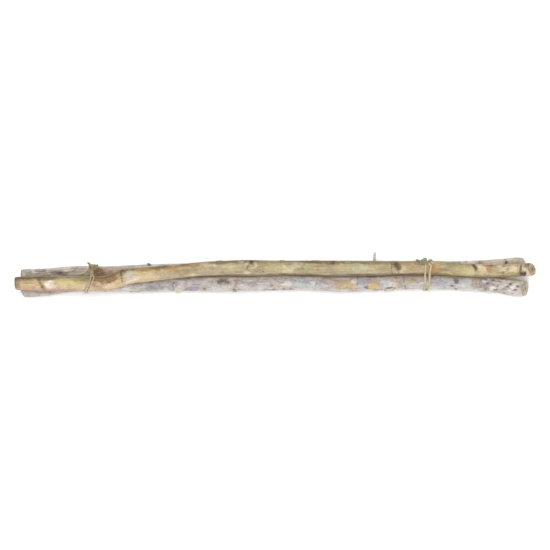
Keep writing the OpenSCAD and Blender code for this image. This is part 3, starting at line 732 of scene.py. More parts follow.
each(front.patch, [
    # the dark olive marks at angles 52 to 56 near the left end are painted shade along the upper edge
    (-384, 56, 18, 5, (112, 92, 60), 0.8),
    (-370, 52, 22, 4, (106, 88, 56), 0.9),
    (-398, 60, 3, 16, (104, 78, 70), 0.8),
    (-352, 52, 22, 4, (116, 98, 60), 0.8),
    (-396, 120, 4, 26, (120, 90, 80), 0.8),
    (-370, 120, 22, 9, (214, 184, 140), 0.7),
    (-372, 165, 24, 5, (212, 170, 144), 0.7),
    (-344, 120, 6, 8, (252, 240, 230), 1.0),
    (-338, 140, 9, 4, (238, 206, 192), 0.7),
    (-318, 92, 22, 9, (216, 200, 128), 0.6),
    (-318, 172, 30, 4, (188, 132, 128), 0.6),
    (-300, 78, 10, 8, (180, 168, 100), 0.6),
    (-290, 62, 14, 6, (146, 136, 84), 0.7),
    (-296, 130, 24, 6, (226, 202, 158), 0.6),
    (-272, 78, 9, 9, (140, 102, 70), 0.8),
    (-276, 128, 12, 6, (202, 158, 128), 0.6),
    (-252, 40, 11, 9, (150, 112, 96), 0.8),
    (-262, 70, 14, 5, (128, 88, 58), 0.7),
    (-242, 82, 9, 5, (160, 130, 80), 0.7),
    (-250, 150, 16, 6, (232, 208, 166), 0.7),
    (-243, 118, 9, 7, (218, 190, 142), 0.6),
    (-288, 164, 12, 4, (232, 212, 176), 0.7),
    (-266, 160, 8, 4, (214, 186, 150), 0.7),
    (-258, 92, 16, 5, (146, 118, 84), 0.7),
    # the next two: painted highlights, bright cream low on the lit near side
    (-200, 150, 24, 5, (236, 214, 168), 0.7),
    (-127, 145, 5, 3, (236, 220, 178), 0.8),
    (-44, 160, 5, 5, (230, 212, 190), 0.9),
    (-222, 102, 7, 7, (206, 198, 184), 0.9),
    (-218, 132, 8, 4, (240, 214, 200), 0.8),
    (-205, 80, 16, 7, (206, 184, 122), 0.5),
    (-190, 55, 20, 6, (170, 138, 84), 0.5),
    (-177, 58, 12, 4, (142, 104, 60), 0.7),
    (-160, 74, 10, 5, (160, 118, 56), 0.6),
    (-150, 98, 16, 6, (206, 164, 112), 0.5),
    (-131, 62, 10, 3, (186, 132, 88), 0.5),
    (-118, 80, 14, 7, (192, 172, 128), 0.4),
    (-112, 34, 12, 4, (206, 164, 146), 0.6),
    (-93, 80, 6, 3, (222, 200, 166), 0.6),
    (-104, 74, 8, 3, (214, 190, 160), 0.5),
    (-86, 30, 9, 4, (128, 104, 76), 0.7),
    (-74, 58, 13, 6, (146, 128, 74), 0.5),
    (-66, 96, 18, 8, (206, 196, 148), 0.5),
    (-58, 70, 9, 3, (150, 132, 80), 0.5),
    (-52, 62, 5, 4, (206, 196, 164), 0.7),
    (-10, 72, 14, 8, (178, 162, 110), 0.5),
    (4, 100, 14, 7, (202, 194, 148), 0.5),
    (14, 124, 12, 5, (214, 206, 158), 0.6),
    (36, 66, 8, 5, (206, 202, 164), 0.5),
    (45, 104, 12, 8, (156, 152, 104), 0.6),
    (52, 84, 8, 4, (182, 182, 144), 0.6),
    (30, 96, 8, 3, (214, 206, 166), 0.6),
    (66, 104, 12, 8, (206, 182, 136), 0.5),
    (58, 42, 26, 4, (110, 78, 48), 0.6),
    (98, 104, 10, 6, (196, 178, 126), 0.5),
    (122, 100, 13, 8, (196, 196, 156), 0.7),
    (134, 112, 8, 5, (206, 206, 170), 0.6),
    (150, 128, 12, 4, (200, 190, 138), 0.5),
    (160, 88, 18, 6, (190, 170, 118), 0.4),
    (178, 84, 1.6, 12, (124, 100, 72), 0.5),
    (184, 78, 4.0, 9, (104, 82, 60), 0.8),
    (188, 104, 3, 6, (120, 96, 68), 0.7),
    (190, 142, 6, 4, (224, 210, 168), 0.7),
    (196, 104, 5, 7, (220, 206, 160), 0.6),
    # the next four: painted shade, a thin dark line along the lower edge above the lower stick
    (28, 178, 36, 3, (96, 76, 46), 0.7),
    (120, 176, 12, 3, (112, 106, 70), 0.7),
    (150, 178, 30, 3, (104, 82, 50), 0.6),
    (210, 176, 34, 3, (100, 78, 48), 0.7),
    (202, 70, 8, 5, (190, 152, 96), 0.5),
    (212, 88, 10, 7, (206, 166, 126), 0.8),
    (206, 112, 10, 6, (178, 152, 110), 0.6),
    (222, 60, 8, 4, (120, 106, 84), 0.5),
    (247, 76, 13, 8, (206, 164, 108), 0.8),
    (243, 120, 12, 7, (162, 128, 80), 0.6),
    (262, 150, 9, 3, (222, 210, 146), 0.8),
    # painted shade along the lower edge above the lower stick
    (254, 168, 16, 3, (112, 90, 56), 0.8),
    (272, 64, 24, 5, (156, 152, 108), 0.7),
    (286, 108, 18, 8, (206, 190, 124), 0.5),
    (296, 78, 8, 4, (206, 186, 146), 0.6),
    (299, 128, 6, 4, (216, 206, 156), 0.7),
    (311, 56, 7, 5, (242, 230, 200), 0.9),
    (317, 90, 6, 6, (228, 194, 162), 0.8),
    (301, 42, 2, 5, (104, 82, 52), 0.9),
    (304, 66, 2, 5, (98, 76, 46), 0.9),
    (306, 88, 2.6, 4, (100, 78, 50), 0.9),
    (313, 120, 9, 6, (200, 188, 134), 0.6),
    (326, 72, 4, 9, (176, 122, 84), 0.8),
    (322, 52, 7, 3, (196, 150, 116), 0.6),
    (334, 110, 8, 8, (196, 180, 130), 0.5),
    (343, 84, 4, 7, (232, 220, 170), 0.8),
    (361, 104, 13, 6, (228, 210, 174), 0.9),
    (362, 150, 16, 3.4, (168, 160, 76), 0.8),
    (379, 112, 4, 7, (132, 98, 72), 0.7),
    (388, 108, 7, 12, (222, 206, 170), 0.8),
    (391, 150, 5, 6, (228, 208, 196), 0.7),
    (391, 60, 5, 6, (104, 92, 60), 0.7),
])
# scars round the stick, and the bare patch near its right end
each(front.ring, [
    (-355.7, -3.3, -3, 2.8, 0.5, (112, 94, 66), 0.9),
    (-372.0, -2, 1, 0.7, 0.15, (150, 120, 80), 0.4),
    (-235.5, -1.5, 1, 1.5, 0.6, (100, 78, 48), 0.9, 66, 130),
    (-177.0, -1, 1, 0.6, 0.12, (128, 96, 60), 0.5, 70, 130),
    (-171.0, -1, 1, 0.5, 0.10, (128, 96, 60), 0.4, 70, 110),
    (177.0, -1, 0, 0.9, 0.4, (120, 98, 74), 0.85),
    (181.0, -1, 0, 0.7, 0.2, (146, 122, 92), 0.6),
    (185.5, -1.5, 0, 1.4, 0.5, (110, 88, 64), 0.8, 76, 150),
])
each(front.patch, [
    (184, 64, 3.4, 7, (106, 84, 60), 0.85),
    (188, 86, 4.8, 6, (112, 90, 64), 0.8),
    (189, 104, 3.4, 5, (122, 100, 72), 0.75),
])
each(front.ring, [
    (303.0, -5, 2.3, 1.2, 0.6, (96, 74, 44), 0.9, 52, 110),
    (305.0, 1, 1, 1.0, 0.3, (120, 96, 62), 0.5, 130, 100),
    (348.0, 1, 0, 1.4, 0.45, (112, 86, 54), 0.85),
    (378.5, 2, 0, 1.6, 0.5, (84, 58, 48), 0.9),
    (371.0, 1, 0, 0.6, 0.2, (130, 96, 60), 0.5),
])
front.knot(-234, 50, 3.0, 0.7, (92, 68, 44), (150, 122, 90))
front.knot(-38, 88, 7.2, 0.9, (132, 108, 72), (222, 210, 178))
each(front.patch, [
    (-37, 62, 5.4, 3.2, (92, 70, 44), 0.9, 0.6),
    (-37, 92, 3.6, 2.6, (196, 184, 140), 0.85, 0.5),
    (-43, 104, 1.6, 4, (116, 92, 60), 0.7, 0.6),
])
each(front.knot, [
    (-19, 140, 2.6, 0.45, (96, 84, 46), (196, 190, 140)),
    (-86, 24, 3.0, 0.6, (110, 84, 56), (196, 170, 120)),
    (10, 22, 2.6, 0.7, (120, 96, 60), (196, 176, 120)),
    (88, 50, 4.0, 0.6, (84, 58, 38), (160, 134, 94), 0.5),
    (330, 46, 2.2, 0.5, (78, 52, 36), (190, 140, 100)),
    (379, 140, 4.2, 0.7, (92, 70, 58), (140, 112, 88)),
    (-64, 250, 4.2, 0.8, (104, 80, 54), (196, 172, 120)),
    (140, 300, 3.6, 0.7, (110, 84, 54), (200, 180, 130)),
    (-330, 280, 3.8, 0.7, (110, 84, 54), (200, 172, 124)),
])
front.crack(84, 92, 66, 6, 0.8, 0.4, (90, 64, 44), 5)
each(front.plateau, [
    (361, 97, 13, 6, -0.4, 0.2, 0.2),
    (-344, 116, 7, 7, 0.25, 0.4, 0.3),
    (-222, 102, 8, 8, 0.3, 0.5, 0.2),
    (-272, 74, 9, 9, -0.35, 0.5, 0.2),
    (-262, 66, 12, 4, 0.4, 0.5, 0.2),
    (-245, 84, 9, 5, 0.35, 0.5, 0.2),
    (-252, 146, 15, 6, 0.25, 0.5, 0.2),
    (313, 84, 8, 7, 0.3, 0.6, 0.2),
    (45, 104, 10, 7, 0.12, 0.5, 0.2),
])
front.bump(-250, 200, 18, 8, 0.5)
front.bump(-60, 60, 9, 5, 0.35)
# faint lengthwise cracks, first on the upper side and then all round
for x in (-318, -196, -122, -30, 62, 128, 168, 262, 340):
    front.crack(x - 14, x + 16, 95 + 40 * math.sin(x), 10, 0.35, 0.15, (140, 118, 76), int(x))
for x in range(-380, 380, 34):
    front.crack(x - 15, x + 18, (x * 7.3) % 360, 14, 0.45, 0.2, (128, 104, 68), x)
front.specks(260, 41, 1.0, 0.6, 0.10, (206, 190, 150), 0.55)
front.specks(120, 42, 0.7, 0.5, -0.12, (104, 80, 50), 0.7)
front.quiet([(-322, -258), (190, 256)], 0.06)
front.weather(0.22, 71)

# ---------------------------------------------------------------- back stick: grey-brown bark

back = Stick("back", 2)
p = back.p
side = back.c[None, :] * np.ones((back.rows, 1))
broad = fbm(p, 26, 3, 21, 3.5)
blotch = fbm(p, 7, 3, 22, 3.0)
streak = fbm(p, 1.7, 3, 23, 14.0)
lines = ridges(p, 2.6, 2, 24, 11.0)
back.relief = (
    0.28 * fbm(p, 34, 2, 25, 2.0)
    + 0.13 * fbm(p, 6, 2, 26, 4.0)
    - 0.22 * smooth(0.72, 1.0, lines)
    + 0.10 * streak
)
right_part = smooth(80, 240, back.x)[:, None] * np.ones_like(side)
back.tint = layered(mix(lin(216, 206, 194), lin(230, 223, 213), smooth(-0.3, 0.4, broad)), [
    # painted light on the upper side, then painted shade on the side towards the front stick
    ((236, 232, 224), smooth(0.2, 0.8, side + 0.3 * blotch) * 0.6),
    ((190, 174, 148), smooth(0.0, -0.5, side + 0.3 * blotch) * 0.5),
    ((236, 222, 198), right_part * 0.6),
    # painted light on the upper side of the right part
    ((240, 232, 218), right_part * smooth(0.3, 0.8, side) * 0.5),
    ((164, 146, 124), smooth(0.1, 0.6, streak) * 0.45),
    ((132, 114, 94), smooth(0.74, 1.0, lines) * 0.55),
])
scatter(back, 170, 82, (6, 20), (0.6, 2.2), [
    (240, 236, 230), (190, 174, 152), (214, 206, 194), (170, 150, 126), (206, 190, 184),
], 0.5, 0.08)
each(back.patch, [
    (-384, 60, 10, 10, (150, 136, 116), 0.5),
    (-350, 60, 24, 6, (186, 172, 160), 0.6),
    (-344, 84, 22, 4, (158, 134, 116), 0.5),
    (-368, 120, 30, 8, (126, 118, 84), 0.6),
    (-330, 100, 14, 4, (104, 80, 60), 0.7),
    (-300, 84, 16, 6, (168, 140, 126), 0.5),
    (-302, 66, 14, 5, (190, 174, 160), 0.5),
    (-282, 80, 10, 5, (206, 186, 158), 0.6),
    (-254, 96, 18, 8, (172, 136, 104), 0.8),
    (-276, 86, 9, 6, (170, 140, 102), 0.8),
    (-262, 74, 14, 5, (206, 170, 156), 0.7),
    (-240, 78, 9, 5, (206, 176, 160), 0.7),
    (-268, 104, 10, 5, (134, 104, 66), 0.7),
    (-238, 56, 18, 5, (196, 178, 164), 0.6),
    (-226, 50, 12, 4, (206, 198, 182), 0.7),
    (-210, 44, 16, 5, (176, 168, 154), 0.5),
    (258, 60, 14, 8, (222, 218, 208), 0.8),
    (278, 46, 8, 5, (186, 188, 168), 0.6),
    (292, 66, 14, 8, (220, 214, 202), 0.8),
    (318, 66, 16, 6, (226, 204, 196), 0.7),
    (313, 66, 10, 5, (206, 180, 176), 0.6),
    (340, 64, 14, 8, (206, 190, 176), 0.5),
    (344, 84, 12, 5, (196, 178, 150), 0.6),
    (360, 62, 12, 8, (206, 198, 178), 0.6),
    (353, 86, 3, 4, (88, 66, 50), 0.9),
    (366, 100, 9, 6, (192, 172, 134), 0.7),
    (376, 60, 6, 9, (168, 156, 140), 0.6),
])
each(back.knot, [
    (-330, 98, 2.0, 0.4, (92, 70, 52), (160, 138, 114)),
    (353, 86, 2.8, 0.7, (74, 52, 40), (196, 176, 150), 0.6),
    (313, 66, 4.2, 0.5, (170, 140, 120), (206, 184, 168)),
    (60, 20, 4.0, 0.8, (110, 88, 64), (186, 168, 144)),
    (-110, 330, 4.0, 0.8, (110, 88, 64), (180, 164, 142)),
    (200, 340, 3.6, 0.6, (110, 88, 64), (190, 172, 148)),
])
each(back.ring, [
    (353.0, -2, 1, 0.9, 0.4, (92, 68, 50), 0.8, 80, 90),
    (-205.0, 1, 1, 1.0, 0.35, (112, 90, 68), 0.6),
    (20.0, 1, 1, 1.0, 0.35, (120, 100, 76), 0.6),
    (120.0, -1, 1, 0.9, 0.3, (120, 100, 76), 0.6),
])
# cracks all round, then the clearer ones on the upper side
for k in range(26):
    start = -385 + 29 * k
    back.crack(start, start + 34, (k * 83 + 20) % 360, 10, 0.4, 0.3, (92, 72, 54), 200 + k)
each(back.crack, [
    (-384, -338, 60, 5, 0.35, 0.35, (96, 76, 60), 301),
    (-378, -322, 84, 5, 0.35, 0.35, (92, 70, 54), 302),
    (-352, -312, 101, 6, 0.5, 0.45, (76, 54, 40), 303),
    (-318, -300, 96, 8, 0.6, 0.45, (76, 54, 40), 304),
    (292, 340, 76, 7, 0.4, 0.3, (120, 96, 74), 305),
])
back.specks(240, 51, 1.4, 0.5, 0.10, (196, 186, 168), 0.5)
back.specks(160, 52, 1.0, 0.4, -0.14, (84, 66, 50), 0.7)
back.quiet([(-304, -250), (214, 266)], 0.08)
back.weather(0.22, 72)

# ---------------------------------------------------------------- lower stick: pale papery bark

lower = Stick("lower", 3)
p = lower.p
side = lower.c[None, :] * np.ones((lower.rows, 1))
broad = fbm(p, 24, 3, 31, 2.2)
blotch = fbm(p, 7, 4, 32, 1.8)
streak = fbm(p, 2.2, 3, 33, 6.0)
bands = fbm(p, 3.0, 3, 34, 0.5)
scales = fbm(p, 5.0, 3, 35, 2.2)
lower.relief = (
    0.34 * fbm(p, 30, 2, 36, 1.8)
    + 0.22 * smooth(-0.12, 0.12, scales)
    + 0.10 * blotch
    + 0.08 * bands
)
edge = smooth(0.10, 0.02, np.abs(scales))
left_part = smooth(-100, -200, lower.x)[:, None]
right_part = smooth(290, 340, lower.x)[:, None]
lower.tint = layered(mix(lin(206, 198, 190), lin(184, 172, 172), smooth(0.0, 0.45, broad)), [
    ((158, 146, 150), smooth(0.1, 0.45, blotch) * 0.6),
    ((226, 220, 212), smooth(0.05, 0.4, -blotch) * 0.7),
    ((138, 124, 120), smooth(0.12, 0.45, streak) * 0.5),
    ((214, 204, 184), smooth(0.1, 0.5, bands) * 0.35),
    ((120, 104, 100), edge * 0.35),
    # painted light: lighter and warmer on the upper side, which lies in shade beneath the front stick
    ((238, 216, 190), smooth(0.25, 0.5, side) * 0.75),
    # painted light: paler on the near lower side, which faces the lamps
    ((238, 232, 227), smooth(0.72, 0.98, -side + 0.2 * blotch) * 0.55),
    # painted shade: darker on top along the left part, beneath the front stick
    ((150, 140, 142), left_part * smooth(0.7, 0.3, -side) * smooth(-0.4, 0.0, -side) * 0.35),
    ((226, 218, 210), right_part * smooth(-0.2, 0.3, -blotch) * 0.5),
])
scatter(lower, 330, 83, (2.2, 10), (1.4, 4.8), [
    (236, 232, 228), (172, 160, 168), (212, 204, 200), (158, 146, 148), (222, 214, 202), (150, 132, 122),
    (196, 196, 200), (186, 170, 158),
], 0.74, 0.14)
each(lower.patch, [
    (-376, 150, 16, 9, (178, 164, 152), 0.6),
    (-330, 170, 26, 8, (188, 172, 160), 0.5),
    (-345, 140, 18, 4, (170, 120, 110), 0.4),
    (-262, 175, 18, 7, (206, 188, 172), 0.5),
    (-212, 150, 12, 6, (196, 194, 178), 0.6),
    (-198, 160, 9, 5, (150, 142, 150), 0.6),
    (-178, 140, 14, 6, (146, 138, 148), 0.6),
    (-168, 170, 12, 5, (220, 216, 212), 0.7),
    (-157, 120, 7, 8, (134, 124, 134), 0.7),
    (-66, 100, 5, 6, (234, 222, 216), 0.8),
    (-58, 132, 5, 5, (228, 214, 206), 0.8),
    (-6, 128, 4, 3, (150, 128, 120), 0.8),
    (4, 150, 5, 4, (230, 212, 198), 0.8),
    (-2, 172, 4, 3, (120, 98, 92), 0.8),
    (14, 164, 3, 3, (120, 98, 92), 0.8),
    (-149, 160, 5, 4, (206, 200, 158), 0.6),
    (-130, 150, 14, 4, (118, 100, 112), 0.6),
    (-120, 125, 13, 8, (178, 166, 176), 0.6),
    (-100, 118, 14, 7, (206, 204, 200), 0.7),
    (-80, 86, 10, 6, (126, 106, 98), 0.95),
    (-84, 150, 14, 7, (212, 210, 206), 0.6),
    (-62, 100, 8, 5, (158, 128, 136), 0.6),
    (-58, 150, 7, 6, (150, 128, 112), 0.6),
    (-48, 130, 10, 4, (226, 214, 210), 0.7),
    (-34, 120, 12, 6, (156, 142, 156), 0.6),
    (-22, 150, 14, 6, (206, 206, 210), 0.6),
    (-12, 170, 8, 5, (164, 150, 124), 0.5),
    (0, 130, 6, 8, (200, 184, 170), 0.6),
    (11, 50, 9, 4, (254, 246, 230), 1.0),
    # painted shadow just below the raised white flake
    (14, 68, 8, 2, (116, 98, 86), 0.8),
    (10, 150, 10, 5, (200, 186, 176), 0.5),
    (20, 170, 7, 4, (112, 92, 88), 0.6),
    (42, 118, 13, 9, (192, 198, 198), 0.9),
    (48, 100, 7, 5, (158, 160, 170), 0.7),
    (58, 142, 12, 7, (214, 214, 212), 0.7),
    (72, 110, 8, 5, (150, 140, 148), 0.6),
    (78, 150, 8, 6, (206, 190, 184), 0.6),
    (88, 82, 12, 5, (206, 182, 178), 0.8),
    (102, 92, 13, 5, (176, 150, 124), 0.8),
    (107, 118, 16, 9, (198, 172, 126), 0.9),
    (98, 136, 9, 5, (184, 162, 104), 0.7),
    (118, 130, 6, 7, (208, 180, 140), 0.8),
    (121, 86, 5, 3, (232, 226, 216), 0.8),
    (130, 116, 9, 10, (192, 186, 194), 0.9),
    (141, 92, 12, 4, (166, 146, 158), 0.7),
    (139, 132, 4, 3, (110, 96, 112), 0.8),
    (151, 112, 9, 7, (200, 174, 122), 0.9),
    (150, 128, 6, 4, (216, 192, 118), 0.8),
    (171, 112, 8, 10, (202, 208, 210), 0.9),
    (182, 132, 6, 9, (242, 228, 202), 0.95),
    (177, 158, 9, 3, (108, 98, 88), 0.9),
    (192, 86, 14, 5, (196, 168, 160), 0.6),
    (192, 118, 10, 7, (176, 156, 132), 0.6),
    (207, 100, 6, 4, (190, 172, 100), 0.7),
    (214, 88, 8, 4, (176, 150, 110), 0.5),
    (226, 120, 12, 8, (212, 200, 192), 0.6),
    (212, 150, 16, 6, (206, 204, 206), 0.5),
    (256, 96, 20, 7, (184, 168, 168), 0.6),
    (262, 124, 20, 8, (198, 200, 202), 0.7),
    (250, 115, 8, 3, (160, 162, 170), 0.6),
    (292, 120, 14, 9, (204, 206, 208), 0.7),
    (307, 106, 11, 8, (176, 152, 122), 0.6),
    (302, 90, 4, 5, (198, 168, 138), 0.6),
    (321, 92, 11, 8, (160, 142, 150), 0.7),
    (318, 150, 8, 6, (186, 184, 164), 0.6),
    (337, 110, 8, 7, (212, 204, 196), 0.8),
    (344, 84, 8, 3, (222, 196, 176), 0.6),
    (346, 146, 16, 9, (186, 164, 160), 0.6),
    (320, 72, 3, 3, (120, 98, 104), 0.8),
    (340, 108, 1.6, 2.2, (76, 58, 52), 0.9),
    (350, 72, 6, 4, (240, 234, 226), 0.9),
    (339, 86, 5, 4, (234, 228, 220), 0.8),
    (366, 128, 5, 4, (238, 226, 220), 0.9),
    (372, 96, 9, 8, (230, 222, 214), 0.7),
    (360, 150, 12, 6, (214, 212, 204), 0.7),
    (380, 124, 5, 6, (224, 198, 178), 0.5),
    (379, 88, 3, 3, (160, 150, 136), 0.4),
])
# light scales with a dark edge near the right end
for x, angle in (
    (320, 84), (328, 58), (333, 134), (345, 118), (351, 92), (357, 68), (361, 136), (367, 106), (371, 80),
):
    lower.patch(x, angle, 4.4, 3.0, (242, 234, 226), 0.9)
    lower.patch(x + 4, angle + 12, 3.2, 1.5, (100, 84, 76), 0.85)
    lower.plateau(x, angle, 4.4, 3.0, 0.3, 0.4, 0.2)
lower.bump(276, 92, 4, 4, 0.15)
each(lower.knot, [
    (270, 136, 2.4, 0.5, (112, 98, 84), (190, 180, 172)),
    (322, 145, 3.0, 0.6, (96, 84, 70), (180, 168, 156)),
    (-109, 148, 4.4, 0.7, (136, 120, 104), (206, 196, 186)),
    (-63, 152, 4.4, 0.8, (140, 122, 108), (222, 210, 200)),
    (-157, 122, 2.6, 0.4, (110, 100, 108), (190, 182, 184)),
    (-250, 290, 4.4, 0.9, (112, 92, 80), (196, 184, 172)),
    (70, 300, 4.4, 0.9, (112, 92, 80), (196, 184, 172)),
    (150, 250, 3.6, 0.7, (120, 100, 84), (196, 184, 172)),
])
each(lower.ring, [
    (-158.0, -1, 2, 0.9, 0.45, (112, 98, 104), 0.8),
    (-60.0, 2, 0, 0.9, 0.5, (142, 122, 118), 0.4),
    (62.0, 2, 1, 0.8, 0.3, (130, 112, 112), 0.6),
    (124.0, 1, 1, 0.9, 0.35, (120, 96, 76), 0.7),
    (196.0, -2, 1, 0.9, 0.35, (120, 96, 84), 0.7),
    (-290.0, 1, 1, 0.8, 0.2, (130, 112, 104), 0.4),
])
each(lower.plateau, [
    (11, 50, 9, 4, 0.4, 0.15, 0.2),
    (36, 122, 12, 9, -0.25, 0.3, 0.2),
    (107, 122, 16, 9, -0.35, 0.4, 0.15),
    (151, 118, 9, 7, -0.25, 0.4, 0.15),
    (172, 112, 9, 9, 0.3, 0.3, 0.15),
    (-80, 92, 11, 6, -0.3, 0.4, 0.2),
    (337, 110, 8, 7, 0.35, 0.5, 0.15),
    (378, 112, 7, 9, -0.3, 0.4, 0.2),
])
lower.bump(-65, 150, 9, 8, 0.8)
lower.bump(374, 110, 14, 12, 0.4, 0.4)
each(lower.crack, [
    (332, 348, 73, 10, 0.7, 0.6, (72, 52, 44), 401),
    (350, 364, 84, 12, 0.6, 0.5, (96, 74, 62), 402),
    (360, 376, 120, 14, 0.7, 0.5, (96, 74, 62), 403),
    (328, 336, 104, 20, 0.7, 0.5, (60, 44, 40), 404),
])
# faint cracks and part rings along the whole stick
for k in range(24):
    start = -380 + 31 * k
    lower.crack(start, start + 22, (k * 97 + 60) % 360, 26, 0.4, 0.28, (112, 94, 88), 420 + k)
for k in range(30):
    at = -372 + 25 * k
    lower.ring(at, 2 - k % 4, k % 3 - 1, 0.5, 0.16, (136, 120, 118), 0.45, (k * 71) % 360, 60 + 9 * (k % 5))
lower.specks(320, 61, 0.7, 1.3, 0.12, (226, 220, 214), 0.6)
lower.specks(220, 62, 0.6, 0.9, -0.14, (104, 88, 84), 0.6)
lower.specks(60, 63, 1.2, 1.4, 0.05, (206, 176, 140), 0.6)
# a round disc that is darker towards its middle
for size in (4.6, 3.4, 2.2):
    lower.patch(276, 92, size, size, (122, 112, 104), 0.9, ragged=0.3, soft=0.5)
lower.quiet([(-300, -274), (216, 242)], 0.08)
lower.weather(0.2, 73)

# ---------------------------------------------------------------- stubs and flakes


def skin(stick, x, angle, out):
    """Points at x, angle in degrees and a height out from the stick's own round surface."""
    x, turn, out = np.broadcast_arrays(np.asarray(x, float), np.radians(angle), np.asarray(out, float))
    mid = curve_at(stick.name, x)
    r = mid[..., 2] + out
    return np.stack([x, mid[..., 0] + r * np.cos(turn), mid[..., 1] + r * np.sin(turn)], axis=-1)


def add_stub(parts, stick, seed, x, angle, base, tip, height, lean, bark, wood):
    """A broken side twig, bud or wart that flares into the bark and ends in a rough tip."""
    sides, levels = 28, 22
    j = np.radians(np.arange(sides) * 360 / sides)
    t = np.linspace(0, 1, levels)[:, None]
    radius = float(curve_at(stick.name, x)[2])
    flare = 0.35 * np.exp(-t * 5)
    width = (base + (tip - base) * t) * (0.86 + flare)
    circle = (np.cos(j)[None] * 1.2, np.sin(j)[None] * 1.2)
    spot = np.stack(np.broadcast_arrays(*circle, t * height * 0.35), axis=-1)
    rough = fbm(spot + 11 * seed, 1.1, 3, 500 + seed)
    ribs = 0.07 * np.cos(j[None] * 7 + 3 * t + seed)
    width = width * (1 + 0.13 * rough + ribs)
    bend = 0.5 * np.sin(3.0 * t + seed) * min(1.0, height / 12)
    along = width * np.cos(j)[None] + lean * t + bend
    across = width * np.sin(j)[None] + bend * 0.6
    jag = 0.35 * tip * fbm(spot * [3, 3, 0] + 5 * seed, 1.3, 3, 600 + seed)
    lift = -0.5 + (height + 0.6) * t + jag * smooth(0.75, 1.0, t)
    rows = skin(stick, x + along, angle + np.degrees(across / radius), lift)
    # a dished and splintered tip inside the outer ring
    inner = []
    middle = rows[-1].mean(0)
    out = skin(stick, x + lean, angle, 1.0)[None] - skin(stick, x + lean, angle, 0.0)[None]
    for shrink in (0.78, 0.5, 0.22):
        disc = middle + (rows[-1] - middle) * shrink
        splinter = 0.22 * tip * fbm(disc * 2 + seed, 1.0, 2, 700 + seed)[:, None] - 0.3 * tip * (1 - shrink)
        inner.append(disc + out * splinter)
    shade = 1 + 0.25 * rough
    tint = mix(lin(*bark), lin(*bark) * 1.25, smooth(0.1, 0.7, t)) * shade[..., None]
    tip_tint = np.broadcast_to(lin(*wood), (3, sides, 3)) * (1 + 0.2 * rough[-3:, :, None])
    parts.tube(np.concatenate([rows, np.array(inner)]), np.concatenate([tint, tip_tint]), flip=True)


def add_flake(parts, stick, seed, x0, x1, a0, a1, thickness, lift, top, underside_and_shade):
    """A loose scale of bark, hinged along a0 and curling up towards a1, with a torn outline."""
    rows, columns = 40, 34
    v = np.linspace(0, 1, rows)[:, None]
    u = np.linspace(0, 1, columns)[None, :]
    line_u = np.stack([u[0] * 3, np.full(columns, seed * 1.9), np.zeros(columns)], axis=-1)
    line_v = np.stack([v[:, 0] * 3, np.full(rows, seed * 2.3), np.ones(rows)], axis=-1)
    torn_low = np.clip(0.20 + 0.34 * fbm(line_u, 0.9, 3, 800 + seed)[None], 0.01, 0.45)
    torn_high = np.clip(0.20 + 0.34 * fbm(line_u + 5, 0.9, 3, 810 + seed)[None], 0.01, 0.45)
    torn_far = np.clip(0.16 + 0.26 * fbm(line_v, 0.6, 3, 820 + seed)[:, None], 0.01, 0.5)
    vv = torn_low + (1 - torn_low - torn_high) * v
    uu = u * (1 - torn_far)
    x = x0 + (x1 - x0) * vv
    angle = a0 + (a1 - a0) * uu
    edge = np.minimum(np.minimum(v, 1 - v) * (rows - 1) / 3, np.minimum(u, 1 - u) * (columns - 1) / 3)
    thin = 0.35 + 0.65 * smooth(0, 1, edge)
    spot = np.stack(np.broadcast_arrays(x, np.radians(angle) * 10, np.zeros_like(x)), axis=-1)
    ripple = fbm(spot + seed * 9, 4.0, 3, 830 + seed)
    bottom = -0.10 + (0.35 + lift) * uu**2 + 0.22 * ripple * uu
    upper = bottom + thickness * 0.75 * thin + 0.10 * fbm(spot, 1.2, 2, 840 + seed)
    over, below = skin(stick, x, angle, upper), skin(stick, x, angle, bottom)
    shade = (1 + 0.22 * ripple)[..., None]
    # the torn edge and the underside take the darker colour: inner bark and painted shade beneath the curl
    over_tint = mix(lin(*top), lin(*underside_and_shade), (1 - smooth(0, 0.9, edge)) * 0.8) * shade
    below_tint = np.broadcast_to(lin(*underside_and_shade) * 0.8, over.shape) * shade
    loop = np.concatenate([over, below[:, ::-1]], axis=1)
    loop_tint = np.concatenate([over_tint, below_tint[:, ::-1]], axis=1)
    n, m = loop.shape[:2]
    quads = grid_quads(n, m)
    k = np.arange(columns - 1)
    first = np.stack([k + 1, k, m - 1 - k, m - 2 - k], axis=-1)
    last = (n - 1) * m + first[:, ::-1]
    parts.add(loop, np.concatenate([quads, first, last]), [], loop_tint)


# x, angle, radius at the bark and at the tip, height, lean along X, colour of the bark and of the tip
STUBS = {
    "front": [
        (-259, 200, 2.2, 1.2, 2.4, -1, (186, 160, 124), (224, 204, 166)),
        (-250, 208, 2.4, 1.0, 3.2, 1, (200, 176, 138), (230, 212, 176)),
        (-239, 200, 2.0, 1.0, 2.6, 2, (160, 134, 102), (212, 190, 152)),
        (-35, 62, 4.4, 2.6, 1.8, -2, (120, 98, 70), (86, 68, 48)),
        (379, 150, 4.2, 2.2, 1.6, 1, (94, 74, 60), (108, 84, 66)),
    ],
    "back": [
        (-193, 40, 3.6, 1.6, 2.8, -2, (128, 126, 112), (150, 148, 132)),
        (151, 36, 2.3, 2.3, 13.5, 1.5, (226, 228, 222), (238, 240, 236)),
        (279, 50, 3.0, 1.8, 1.4, 2, (170, 170, 148), (196, 192, 168)),
        (291, 44, 2.6, 1.4, 1.2, 1, (176, 172, 150), (200, 192, 168)),
    ],
    "lower": [
        (-149, 202, 3.6, 1.4, 3.6, 0, (214, 210, 152), (226, 222, 170)),
        (-64, 200, 4.4, 2.6, 1.4, 2, (186, 160, 146), (160, 122, 100)),
        (276, 160, 4.0, 2.4, 1.4, 0, (190, 184, 178), (150, 134, 122)),
    ],
}
